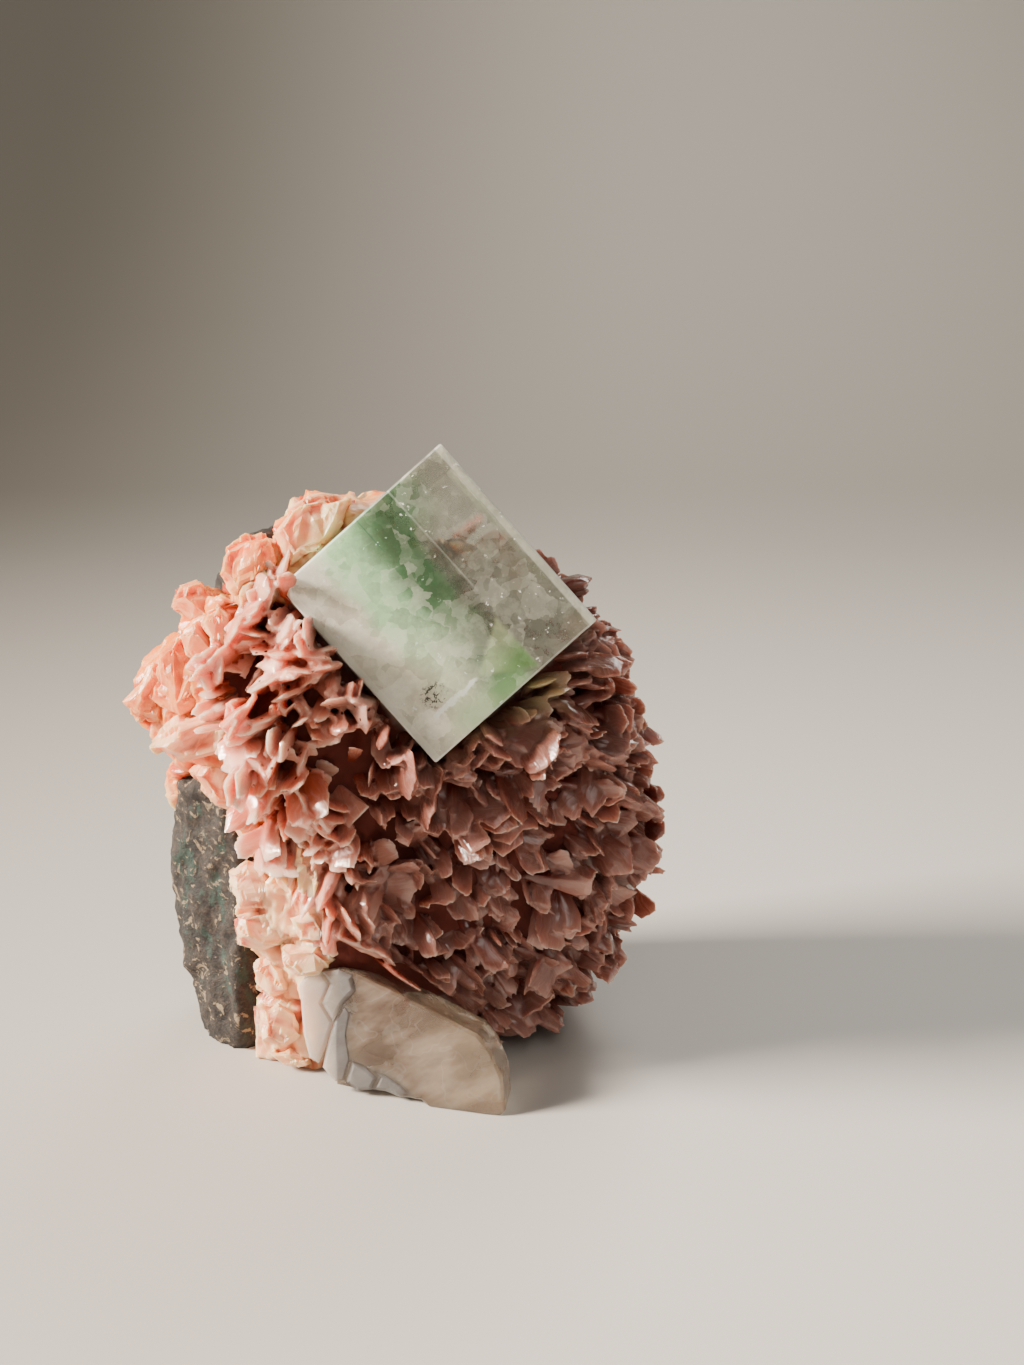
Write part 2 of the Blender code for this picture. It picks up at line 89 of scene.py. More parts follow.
class Wire:
    # A node's output. Operators on wires add Math nodes.
    def __init__(self, finish, socket):
        self.finish = finish
        self.socket = socket

    def maths(self, operation, one, two=0.0):
        return self.finish.node("Math", {"operation": operation}, {0: one, 1: two})

    def __add__(self, other):
        return self.maths("ADD", self, other)

    def __radd__(self, other):
        return self.maths("ADD", other, self)

    def __sub__(self, other):
        return self.maths("SUBTRACT", self, other)

    def __rsub__(self, other):
        return self.maths("SUBTRACT", other, self)

    def __mul__(self, other):
        return self.maths("MULTIPLY", self, other)

    def __rmul__(self, other):
        return self.maths("MULTIPLY", other, self)

    def __truediv__(self, other):
        return self.maths("DIVIDE", self, other)

    def __abs__(self):
        return self.maths("ABSOLUTE", self)

    def larger(self, other):
        return self.maths("MAXIMUM", self, other)

    def smaller(self, other):
        return self.maths("MINIMUM", self, other)

    def step(self, low, high):
        # 0 at low and 1 at high, eased between them
        ease = {"interpolation_type": "SMOOTHSTEP", "clamp": True}
        return self.finish.node("MapRange", ease, {0: self, 1: low, 2: high, 3: 0.0, 4: 1.0})


class Finish:
    # A material under construction. node() takes a type, its settings, and its sockets' values or wires.
    def __init__(self, name):
        self.material = bpy.data.materials.new(name)
        self.material.use_nodes = True
        self.tree = self.material.node_tree
        self.tree.nodes.clear()

    def node(self, kind, settings=None, sockets=None, output=0):
        made = self.tree.nodes.new("ShaderNode" + kind)
        for name, value in (settings or {}).items():
            if name == "stops":
                while len(made.color_ramp.elements) < len(value):
                    made.color_ramp.elements.new(0.5)
                for element, (place, colour) in zip(made.color_ramp.elements, value):
                    element.position = place
                    element.color = (*colour, 1.0)
            else:
                setattr(made, name, value)
        for name, value in (sockets or {}).items():
            if isinstance(value, Wire):
                self.tree.links.new(value.socket, made.inputs[name])
            elif made.inputs[name].type == "RGBA":
                made.inputs[name].default_value = (*value[:3], 1.0)
            else:
                made.inputs[name].default_value = value
        return Wire(self, made.outputs[output])

    def place(self):
        # Object coordinates in millimetres
        spot = self.node("TexCoord", output="Object")
        return self.node("VectorMath", {"operation": "MULTIPLY"}, {0: spot, 1: (1 / mm, 1 / mm, 1 / mm)})

    def painted(self, name):
        # A value that the mesh carries
        return self.node("Attribute", {"attribute_name": name}, output="Fac")

    def noise(self, spot, scale, detail=3.0, roughness=0.55, distortion=0.0, output=0):
        sockets = {"Vector": spot, "Scale": scale, "Detail": detail, "Roughness": roughness,
                   "Distortion": distortion}
        return self.node("TexNoise", {}, sockets, output)

    def cells(self, spot, scale, output=0):
        return self.node("TexVoronoi", {}, {"Vector": spot, "Scale": scale}, output)

    def along(self, spot, way, start=0.0):
        # How far a spot is along a direction, in millimetres
        far = self.node("VectorMath", {"operation": "DOT_PRODUCT"}, {0: spot, 1: tuple(way)}, "Value")
        return far - start

    def distance(self, spot, middle):
        ends = {0: spot, 1: tuple(middle / mm)}
        return self.node("VectorMath", {"operation": "DISTANCE"}, ends, "Value")

    def shaken(self, spot, scale):
        shake = self.noise(spot, scale, 3.0, output=1)
        return self.node("VectorMath", {"operation": "ADD"}, {0: spot, 1: shake})

    def stretched(self, spot, scales, turn=(0.0, 0.0, 0.0)):
        sockets = {"Vector": spot, "Rotation": turn, "Scale": scales}
        return self.node("Mapping", {"vector_type": "TEXTURE"}, sockets)

    def blend(self, share, one, two):
        return self.node("Mix", {"data_type": "RGBA", "clamp_factor": True}, {0: share, 6: one, 7: two}, 2)

    def layered(self, colour, look, layers):
        # Colours of a look, laid over one another by their shares
        for share, name in layers:
            colour = self.blend(share, colour, look[name])
        return colour

    def ramp(self, share, stops):
        return self.node("ValToRGB", {"stops": stops}, {0: share})

    def bump(self, height, depth, strength=1.0):
        return self.node("Bump", {}, {"Height": height, "Distance": depth, "Strength": strength})

    def shader(self, **sockets):
        named = {name.replace("_", " "): value for name, value in sockets.items()}
        return self.node("BsdfPrincipled", {}, named)

    def surface(self, shader):
        end = self.tree.nodes.new("ShaderNodeOutputMaterial")
        self.tree.links.new(shader.socket, end.inputs["Surface"])
        return self.material


def pieceFrom(name, shape, finish, node, smooth=False):
    # Turns a bmesh into a piece that rides with the specimen and stands for a node. With smooth as None
    # its faces keep their own shading.
    mesh = bpy.data.meshes.new(name)
    shape.to_mesh(mesh)
    shape.free()
    if smooth is not None:
        mesh.polygons.foreach_set("use_smooth", [smooth] * len(mesh.polygons))
    mesh.materials.append(finish)
    piece = linked(bpy.data.objects.new(name, mesh))
    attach(piece, "root")
    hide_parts(node)
    print(name, len(mesh.polygons), "faces")
    return piece


def joinInto(target, shape):
    mesh = bpy.data.meshes.new("part")
    shape.to_mesh(mesh)
    shape.free()
    target.from_mesh(mesh)
    bpy.data.meshes.remove(mesh)


def wallBetween(shape, low, high):
    # Faces that join two rings of corners
    faces = []
    for index in range(len(low)):
        after = (index + 1) % len(low)
        faces.append(shape.faces.new((low[index], low[after], high[after], high[index])))
    return faces


def linked(item):
    bpy.context.scene.collection.objects.link(item)
    return item


def cutFlat(shape, point, outward):
    # Cuts off what lies past a plane, and closes the cut with one flat face
    whole = shape.verts[:] + shape.edges[:] + shape.faces[:]
    cut = bmesh.ops.bisect_plane(shape, geom=whole, plane_co=point, plane_no=outward, clear_outer=True)
    rim = [item for item in cut["geom_cut"] if isinstance(item, bmesh.types.BMEdge)]
    bmesh.ops.edgeloop_fill(shape, edges=rim)


def nodeShape(name):
    # A copy of a node's mesh with its corners merged
    shape = bmesh.new()
    shape.from_mesh(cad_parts[name].data)
    bmesh.ops.remove_doubles(shape, verts=shape.verts, dist=1e-6)
    return shape


def skinOf(shape, voxel, keep=1.0):
    # One closed skin round all that is in a mesh, thinned to a share of its faces
    rough = bpy.data.meshes.new("rough")
    shape.to_mesh(rough)
    item = linked(bpy.data.objects.new("rough", rough))
    step = item.modifiers.new("voxels", "REMESH")
    step.mode = "VOXEL"
    step.voxel_size = voxel
    if keep < 1:
        item.modifiers.new("thinner", "DECIMATE").ratio = keep
    fine = bpy.data.meshes.new_from_object(item.evaluated_get(bpy.context.evaluated_depsgraph_get()))
    bpy.data.objects.remove(item, do_unlink=True)
    fine.validate()
    skin = bmesh.new()
    skin.from_mesh(fine)
    bpy.data.meshes.remove(fine)
    return skin


def smoothShare(value, low, high):
    share = min(1.0, max(0.0, (value - low) / (high - low)))
    return share * share * (3 - 2 * share)


# The whole body's outline, as in the solids
body = {
    "point": Vector((-18.8, -1.9, 24.0)) * mm,
    "normal": Vector((-0.14, 1.0, 0.05)).normalized(),
    "middle": (430, 790),
    "front": 10.5 * mm,
    "back": 12.5 * mm,
    "roundness": 0.72,
    "roughness": 1.1 * mm,
    "ledge": 5.5 * mm,
    "outline": [
        (630, 790), (625, 860), (604, 912), (571, 957), (536, 996), (492, 1036), (443, 1070),
        (385, 1096), (320, 1112), (262, 1100), (225, 1070), (205, 1030), (197, 1005), (196, 985),
        (182, 955), (174, 910), (170, 850), (174, 800), (180, 770), (160, 752), (140, 735), (122, 712),
        (138, 682), (168, 640), (182, 600), (219, 584), (228, 558), (254, 545), (287, 524), (305, 504),
        (322, 498), (368, 500), (420, 514), (470, 542), (530, 577), (570, 607), (603, 655), (621, 720),
    ],
}
# Where the specimen is broken through at the left front, with a lobe of crust that stands out there
brokenSide = {
    "normal": Vector((-0.56, -0.83, 0.0)).normalized(),
    "distance": 11.9 * mm,
    "press": 0.92,
    "roughness": 0.9 * mm,
    "grain": 3.0 * mm,
    "fade": 2.0 * mm,
    "lobeHeight": 31.0 * mm,
    "lobeHalf": 7.0 * mm,
    "lobeReach": 2.9 * mm,
}
growthCentre = Vector((-9.8, 4.1, 33.0)) * mm    # the blades grow away from it


class Outline:
    # A closed outline on a plane, as a distance from its middle for each direction
    def __init__(self, point, normal, middle, pixels):
        self.normal = normal
        self.middle = onPlane(middle, point, normal)
        self.across = normal.cross(up).normalized()
        self.upward = self.across.cross(normal)
        spots = [onPlane(pixel, point, normal) - self.middle for pixel in pixels]
        polar = sorted((self.angle(spot), spot.length) for spot in spots)
        first = (polar[0][0] + math.tau, polar[0][1])
        last = (polar[-1][0] - math.tau, polar[-1][1])
        self.polar = [last] + polar + [first]

    def angle(self, offset):
        return math.atan2(offset.dot(self.upward), offset.dot(self.across))

    def reach(self, angle):
        for (low, near), (high, far) in zip(self.polar, self.polar[1:]):
            if low <= angle <= high:
                return near + (far - near) * (angle - low) / (high - low)
        return self.polar[0][1]

    def place(self, spot):
        # The direction of a spot, and how far out it is as a share of the outline's reach
        offset = spot - self.middle
        angle = self.angle(offset)
        flat = offset - self.normal * offset.dot(self.normal)
        return angle, flat.length / self.reach(angle)


outline = Outline(body["point"], body["normal"], body["middle"], body["outline"])


# The clear crystal's place: the front face's middle and corners as pixels, the pixel that it faces, and
# its distance from the viewpoint
crystal = {
    "middle": (438, 604),
    "faces": (505, 590),
    "distance": 122.5 * mm,
    "corners": {"top": (439, 445), "left": (280, 588), "bottom": (436, 763), "right": (600, 618)},
    "sideUp": 16.4 * mm,
    "sideDown": 17.8 * mm,
    "depth": 16.0 * mm,
    "chip": 0.7 * mm,        # off the left corner
    "bevel": 0.16 * mm,
}


def crystalFrame():
    # The middle of the front face, its outward direction and the directions of its sides
    outward = -viewRay(crystal["faces"]).normalized()
    middle = view["eye"] + viewRay(crystal["middle"]) * crystal["distance"]
    corner = {name: onPlane(pixel, middle, outward) for name, pixel in crystal["corners"].items()}
    rising = (corner["top"] - corner["left"] + corner["right"] - corner["bottom"]).normalized()
    return middle, outward, rising, rising.cross(outward).normalized()


crystalFace, crystalOutward, crystalRising, crystalFalling = crystalFrame()
crystalCentre = crystalFace - crystalOutward * crystal["depth"] / 2
crystalAxes = Matrix((crystalRising, crystalFalling, crystalOutward)).transposed()
crystalHalf = Vector((crystal["sideUp"], crystal["sideDown"], crystal["depth"])) / 2


def pushOutOfCrystal(spot, gap):
    # A spot inside the clear crystal moves away from the top of its face until it is past a side or
    # the back, so that the crystal sits in a pocket
    local = crystalAxes.transposed() @ (spot - crystalCentre)
    half = crystalHalf + Vector((gap, gap, gap))
    if any(abs(local[axis]) >= half[axis] for axis in range(3)):
        return spot
    start = Vector((0.8 * crystalHalf.x, -0.8 * crystalHalf.y, crystalHalf.z))
    way = local - start
    shares = [
        (math.copysign(half[axis], way[axis]) - start[axis]) / way[axis]
        for axis in range(3) if abs(way[axis]) > 1e-9]
    return crystalCentre + crystalAxes @ (start + way * min(shares))


crust = {
    "facets": 7,             # icosphere subdivisions
    "blockSize": 3.3 * mm,   # broken blocks on the bare crust
    "blockTilt": 0.24,
    "blockStep": 0.35 * mm,
    "chipSize": 1.1 * mm,
    "chipTilt": 0.20,
    "chipStep": 0.03 * mm,
    "crevice": 0.45 * mm,
    "creviceWidth": 0.22,    # as a share of a block
    "fibre": 0.5,            # how far the blocks are drawn out along the growth
    "grain": 0.7 * mm,
    "bareRough": 0.02 * mm,
    "groundRough": 0.40 * mm,
    "ridge": [               # the druse's left border, as pixels
        (480, 540), (300, 575), (250, 600), (228, 640), (210, 680), (232, 720), (245, 745), (255, 790),
        (270, 820), (290, 840), (318, 855), (320, 880), (318, 910), (322, 935), (318, 960), (312, 1000),
        (312, 1100),
    ],
    "basaltBorder": [        # where the crust ends on the basalt, as pixels
        (187, 770), (195, 790), (200, 805), (225, 818), (235, 830), (245, 850), (247, 865), (228, 875),
        (225, 890), (230, 905), (233, 925), (240, 950), (250, 985), (254, 1000), (253, 1040),
    ],
    "ridgeWander": 9.0,      # in pixels
    "ridgeWidth": 10.0,
    "sinkUnderBasalt": 2.2 * mm,
    "sinkStart": (-0.1 * mm, 0.7 * mm),
    "basaltCover": 0.8 * mm,    # of basalt over the crust at the back
    "sinkUnderBlades": 1.9 * mm,
    "pocketGap": 0.12 * mm,  # round the clear crystal
    "underside": 0.15 * mm,
    "floorGap": 0.1 * mm,
}


def bodySpot(way):
    # The solid body's surface in a direction: the spot, its outward direction, and how bare it is
    angle = math.atan2(way.z, way.x)
    side = math.hypot(way.x, way.z) ** body["roundness"]
    deep = body["back"] if way.y > 0 else body["front"]
    depth = math.copysign(abs(way.y) ** body["roundness"], way.y) * deep
    reach = outline.reach(angle) * side
    spot = outline.middle + outline.normal * depth
    spot += outline.across * reach * math.cos(angle) + outline.upward * reach * math.sin(angle)
    outward = (spot - outline.middle).normalized()
    ledge = noise.voronoi(spot / body["ledge"])[0][0] - 0.4
    spot += outward * body["roughness"] * (ledge + 0.5 * noise.noise(spot / body["ledge"] * 2.3))
    lobe = max(0.0, 1.0 - ((spot.z - brokenSide["lobeHeight"]) / brokenSide["lobeHalf"]) ** 2)
    past = spot.dot(brokenSide["normal"]) - brokenSide["distance"] - brokenSide["lobeReach"] * lobe
    if past > 0:
        rough = brokenSide["roughness"] * noise.fractal(spot / brokenSide["grain"], 1.0, 2.0, 3)
        rough *= min(1.0, past / brokenSide["fade"])
        spot -= brokenSide["normal"] * (past * brokenSide["press"] - rough)
        outward = outward.lerp(brokenSide["normal"], smoothShare(past, 0, 2 * mm)).normalized()
    return spot, outward, bareShare(spot)


def leftOf(border, pixel):
    # How many pixels to the left of a border from top to bottom a pixel is
    x, y = pixel
    across = border[0][0] if y < border[0][1] else border[-1][0]
    for (before, high), (after, low) in zip(border, border[1:]):
        if high <= y < low:
            across = before + (after - before) * (y - high) / (low - high)
    return across - x


def pastRidge(spot):
    wander = crust["ridgeWander"] * noise.noise(spot / (2.5 * mm))
    return leftOf(crust["ridge"], toPixel(spot)) + wander


def bareShare(spot):
    # 1 where the crust shows, 0 where blades cover it
    behind = smoothShare((spot - outline.middle).dot(outline.normal), 1.0 * mm, 4.0 * mm)
    return max(smoothShare(pastRidge(spot), -crust["ridgeWidth"], crust["ridgeWidth"]), behind)


def onBasaltShare(spot):
    # 1 where the basalt shows in front of the crust
    pixel = toPixel(spot)
    border = crust["basaltBorder"]
    inFront = 1 - smoothShare((spot - outline.middle).dot(outline.normal), -3.0 * mm, 1.0 * mm)
    level = smoothShare(pixel.y, border[0][1], border[0][1] + 12)
    return inFront * level * smoothShare(leftOf(border, pixel), -3.0, 5.0)


def paleAndLitBehindCrystalShare(spot, outward):
    # 1 where the clear crystal stands in front of crust that faces the viewpoint. The crust there is made
    # pale: partly its own pale colour, partly painted light that the glass keeps from it
    seen = intersect_line_plane(view["eye"], spot, crystalFace, crystalOutward)
    if seen is None or crystalOutward.dot(spot - crystalFace) > 0:
        return 0.0
    inside = min(
        crystalHalf.x - abs((seen - crystalFace).dot(crystalRising)),
        crystalHalf.y - abs((seen - crystalFace).dot(crystalFalling)))
    facing = outward.dot((view["eye"] - spot).normalized())
    return smoothShare(inside, -0.3 * mm, 0.6 * mm) * smoothShare(facing, 0.0, 0.25)


def facetHeight(spot, size, tilt, step):
    # Blocks that each have a tilt and a height of their own
    nearest = noise.voronoi(spot / size)[1][0]
    lean = noise.cell_vector(nearest * 7.3) - Vector((0.5, 0.5, 0.5))
    return tilt * lean.dot(spot - nearest * size) * 2 + step * (noise.cell(nearest * 5.1) - 0.5) * 2


def crustShape(basaltTree):
    shape = bmesh.new()
    bmesh.ops.create_icosphere(shape, subdivisions=crust["facets"], radius=1.0)
    bareVerts = {vert for vert in shape.verts if bodySpot(vert.co)[2] > 0.3 and vert.co.y < 0.45}
    rim = [edge for edge in shape.edges if bareVerts.issuperset(edge.verts)]
    bmesh.ops.subdivide_edges(shape, edges=rim, cuts=1, use_grid_fill=True)
    names = ("bare", "pale", "crevice", "veiled")
    layers = [shape.verts.layers.float.new(name) for name in names]
    for vert in shape.verts:
        spot, outward, bare = bodySpot(vert.co.normalized())
        grown = (spot - growthCentre).normalized()
        pulled = spot - grown * (spot - growthCentre).dot(grown) * crust["fibre"]
        blocks = facetHeight(pulled, crust["blockSize"], crust["blockTilt"], crust["blockStep"])
        gaps = noise.voronoi(pulled / crust["blockSize"])[0]
        crevice = (1 - smoothShare(gaps[1] - gaps[0], 0.0, crust["creviceWidth"])) * bare
        chips = facetHeight(spot, crust["chipSize"], crust["chipTilt"], crust["chipStep"])
        rough = crust["bareRough"] + crust["groundRough"] * (1 - bare)
        rough *= noise.fractal(spot / crust["grain"], 1.0, 2.2, 3)
        spot += outward * (bare * (blocks + chips) + rough)
        spot -= outward * (crust["sinkUnderBlades"] * (1 - bare) + crust["crevice"] * crevice)
        near, normal, _, away = basaltTree.find_nearest(spot)
        signed = away if (spot - near).dot(normal) > 0 else -away
        sink = max(1.0 - smoothShare(signed, *crust["sinkStart"]), onBasaltShare(spot))
        spot -= outward * crust["sinkUnderBasalt"] * sink
        near, normal, _, _ = basaltTree.find_nearest(spot)
        if sink > 0.5 and outward.y > 0 and (spot - near).dot(normal) > -0.5 * mm:
            spot = near - normal * crust["basaltCover"]
        vert.co = pushOutOfCrystal(spot, crust["pocketGap"])
        pushed = smoothShare((vert.co - spot).length, 0, 0.5 * mm)
        shares = (max(bare, pushed), pushed, crevice * (1 - pushed), paleAndLitBehindCrystalShare(vert.co, outward))
        for layer, share in zip(layers, shares):
            vert[layer] = share
    cutFlat(shape, up * crust["underside"], -up)
    bmesh.ops.recalc_face_normals(shape, faces=shape.faces)
    return shape


# The blocks that stand out of the bare crust: their outlines as pixels, how far they stand out in
# millimetres, and how pale they are
chunks = [
    (((271, 533), (286, 510), (303, 498), (322, 493), (352, 497), (345, 520), (330, 548), (288, 572)),
     2.2, 0.5),
    (((217, 575), (224, 546), (246, 534), (268, 537), (276, 562), (262, 588), (236, 600)), 1.8, 0.1),
    (((236, 608), (240, 580), (262, 570), (279, 574), (279, 596), (264, 618)), 2.0, 0.7),
    (((174, 600), (180, 584), (200, 580), (216, 590), (222, 612), (205, 625)), 2.0, 0.4),
    (((200, 622), (218, 600), (230, 610), (238, 634), (227, 652), (212, 645)), 2.2, 0.5),
    (((178, 632), (196, 622), (212, 645), (226, 656), (205, 668), (186, 655)), 2.0, 0.4),
    (((158, 650), (178, 634), (190, 655), (203, 668), (206, 700), (180, 715), (150, 700)), 1.6, 0.1),
    (((123, 702), (140, 682), (152, 660), (166, 668), (172, 700), (160, 722), (136, 722)), 1.6, 0.2),
    (((150, 748), (172, 726), (210, 712), (243, 708), (244, 730), (220, 752), (184, 762)), 2.2, 0.9),
    (((190, 775), (205, 758), (230, 752), (248, 762), (254, 790), (240, 812), (215, 806)), 1.3, 0.6),
    (((226, 818), (250, 806), (262, 830), (268, 862), (250, 858), (240, 840)), 1.2, 0.4),
    (((262, 832), (284, 826), (300, 836), (298, 876), (292, 900), (276, 884), (266, 862)), 1.8, 0.5),
    (((298, 840), (318, 850), (322, 876), (318, 905), (300, 904), (297, 872)), 1.6, 0.4),
    (((228, 872), (246, 860), (262, 864), (276, 886), (262, 908), (238, 910)), 1.6, 1.0),
    (((236, 915), (262, 910), (286, 916), (292, 938), (262, 948), (240, 940)), 1.2, 0.5),
    (((290, 918), (318, 912), (330, 930), (325, 945), (298, 942)), 1.5, 0.7),
    (((280, 948), (318, 944), (333, 960), (322, 974), (296, 978), (284, 966)), 1.4, 0.6),
    (((254, 962), (272, 955), (284, 968), (290, 990), (272, 1000), (256, 990)), 1.2, 0.2),
    (((258, 1006), (278, 1000), (296, 1012), (302, 1036), (284, 1048), (262, 1040)), 1.2, 0.2),
    (((268, 1052), (290, 1048), (306, 1054), (312, 1064), (296, 1070), (280, 1066)), 1.0, 0.1),
]
chunk = {
    "depth": 3.0 * mm, "shoulder": 0.72, "jitter": 0.35 * mm, "foot": 1.05,
    "fibre": 0.65, "grain": 1.3 * mm, "tilt": 0.22, "step": 0.08 * mm,
    "crack": 0.2 * mm, "cracks": 2.86 * mm, "crackWidth": 0.25,
}


def addChunks(target, tree, draw):
    # Each one is a closed block with a shoulder and an uneven, broken face
    for pixels, stand, pale in chunks:
        middle = sum((Vector(pixel) for pixel in pixels), Vector((0, 0))) / len(pixels)
        ray = viewRay(middle).normalized()
        hit, normal, _, _ = tree.ray_cast(view["eye"], ray)
        if hit is None:
            continue
        chance = Vector((draw.uniform(-1, 1), draw.uniform(-1, 1), draw.uniform(-1, 1)))
        outward = (normal * 0.3 - ray * 0.8 + chance * 0.15).normalized()
        shape = bmesh.new()
        front = [onPlane(pixel, hit + outward * stand * 0.5 * mm, outward) for pixel in pixels]
        centre = sum(front, Vector()) / len(front)
        top = [centre + (spot - centre) * chunk["shoulder"] + outward * stand * 0.5 * mm for spot in front]
        rings = [
            [shape.verts.new(centre + (spot - centre) * chunk["foot"] - outward * chunk["depth"])
             for spot in front],
            [shape.verts.new(spot) for spot in front],
            [shape.verts.new(spot + outward * draw.uniform(-1, 1) * chunk["jitter"]) for spot in top],
        ]
        for low, high in zip(rings, rings[1:]):
            wallBetween(shape, low, high)
        shape.faces.new(rings[2])
        shape.faces.new(rings[0][::-1])
        bmesh.ops.triangulate(shape, faces=shape.faces)
        bmesh.ops.subdivide_edges(shape, edges=shape.edges[:], cuts=7, use_grid_fill=True)
        bmesh.ops.recalc_face_normals(shape, faces=shape.faces)
        shape.normal_update()
        fibre = (top[0] - top[len(top) // 2]).normalized()
        moves = []
        for vert in shape.verts:
            pulled = vert.co - fibre * vert.co.dot(fibre) * chunk["fibre"]
            height = facetHeight(pulled, chunk["grain"], chunk["tilt"], chunk["step"])
            gaps = noise.voronoi(pulled / chunk["cracks"])[0]
            gap = 1 - smoothShare(gaps[1] - gaps[0], 0.0, chunk["crackWidth"])
            moves.append((vert.normal * (height - chunk["crack"] * gap), gap))
        layers = [shape.verts.layers.float.new(name) for name in ("bare", "pale", "crevice")]
        for vert, (move, gap) in zip(shape.verts, moves):
            vert.co = pushOutOfCrystal(vert.co + move, crust["pocketGap"])
            vert.co.z = max(vert.co.z, crust["floorGap"])
            # Painted shade: a block's sides and back get the crevice value, darker the deeper they lie below
            # its front
            deep = smoothShare(outward.dot(centre - vert.co), 0.0, 1.2 * mm)
            for layer, value in zip(layers, (1.0, pale, max(0.7 * gap, deep))):
                vert[layer] = value
        joinInto(target, shape)


crustLook = {
    "patches": [
        (0.30, (0.86, 0.15, 0.025)), (0.42, (0.92, 0.25, 0.06)), (0.54, (0.96, 0.38, 0.13)),
        (0.66, (0.98, 0.58, 0.30))],
    "spots": (0.50, 0.045, 0.012),
    "foot": (0.99, 0.66, 0.42),
    "footTop": (14.0, 27.0),     # heights in millimetres between which the foot's colour ends
    "outside": (0.74, 0.19, 0.02),
    "outsideEnd": (-16.5, -12.0),
    "fibres": (0.97, 0.60, 0.36),
    "pale": (0.96, 0.66, 0.46),
    "stainsAndShade": (0.42, 0.045, 0.015),
    "shadeUnderBlades": (0.11, 0.014, 0.007),
    "veiled": (0.70, 0.66, 0.58),
}


def crustFinish():
    finish = Finish("peach crust")
    spot = finish.place()
    fibre = finish.noise(finish.stretched(spot, (4.0, 0.6, 1.0), (0.3, 0.5, 0.9)), 0.8, 4.0, 0.6)
    patch = finish.noise(spot, 0.20, 3.0, 0.6)
    spotty = finish.noise(spot, 0.5, 2.0)
    bare = finish.painted("bare")
    # Paler toward the foot: partly the crust's own paler colour, partly painted light where the strong light
    # falls
    foot = 1 - finish.along(spot, (0, 0, 1)).step(*crustLook["footTop"])
    outside = 1 - finish.along(spot, (1, 0, 0)).step(*crustLook["outsideEnd"])
    outside = outside * (0.55 + 0.45 * patch.step(0.36, 0.52)) * (1 - foot)
    # Red brown in the crevices: partly stains, partly painted shade where the crevices are deep
    creviceStainAndShade = finish.painted("crevice").step(0.25, 1.0) * finish.noise(spot, 0.35, 3.0).step(0.42, 0.60)
    colour = finish.layered(finish.ramp(patch, crustLook["patches"]), crustLook, [
        (spotty.step(0.60, 0.70) * 0.85, "spots"), (foot * 0.7, "foot"), (outside * 0.85, "outside"),
        (fibre.step(0.45, 0.70) * 0.50, "fibres"), (finish.painted("pale") * 0.6, "pale"),
        # Painted shade: the crust under the blades is dark red brown, so that the gaps between the blades
        # read as deep
        (creviceStainAndShade * 0.85, "stainsAndShade"), (1 - bare.step(0.2, 0.8), "shadeUnderBlades"),
        # Seen through the crystal the crust is pale grey: partly its own colour, partly painted light
        (finish.painted("veiled") * 0.92, "veiled")])
    shader = finish.shader(
        Base_Color=colour, Roughness=0.9 - bare * (0.68 - 0.2 * spotty), IOR=1.5, Subsurface_Weight=0.7,
        Subsurface_Radius=(1.0, 0.40, 0.20), Subsurface_Scale=2.0 * mm,
        Normal=finish.bump(fibre, 0.20 * mm, 0.6))
    return finish.surface(shader)


def onFace(a, b):
    # A spot on the crystal's front face, with a and b from 0 to 1 along its sides
    spot = crystalFace + crystalRising * (a - 0.5) * 2 * crystalHalf.x
    return spot + crystalFalling * (b - 0.5) * 2 * crystalHalf.y


bladeLook = {
    # The left colours are the lit pink and the right ones the same pink in painted shade, also turned from
    # salmon to mauve
    "left": [
        (0.0, (0.80, 0.25, 0.14)), (0.35, (0.86, 0.34, 0.22)), (0.7, (0.90, 0.44, 0.32)),
        (1.0, (0.94, 0.58, 0.46))],
    "right": [(0.0, (0.19, 0.068, 0.048)), (0.5, (0.27, 0.110, 0.084)), (1.0, (0.38, 0.190, 0.155))],
    "shadeStart": (-11.0, 1.0),  # in millimetres
    "paleLit": (0.94, 0.64, 0.54),
    "paleShaded": (0.50, 0.28, 0.23),
    "rootShadeLeft": (0.40, 0.060, 0.020),
    "rootShadeRight": (0.12, 0.013, 0.006),
    "greenLightFromCrystal": (0.50, 0.46, 0.25),
    "greenLightSpot": crystalFace + crystalFalling * crystalHalf.y + crystalRising * 3 * mm,
    "specks": (0.03, 0.015, 0.01),
    "speckSpot": crystalFace - crystalRising * (crystalHalf.x + 3 * mm),
}


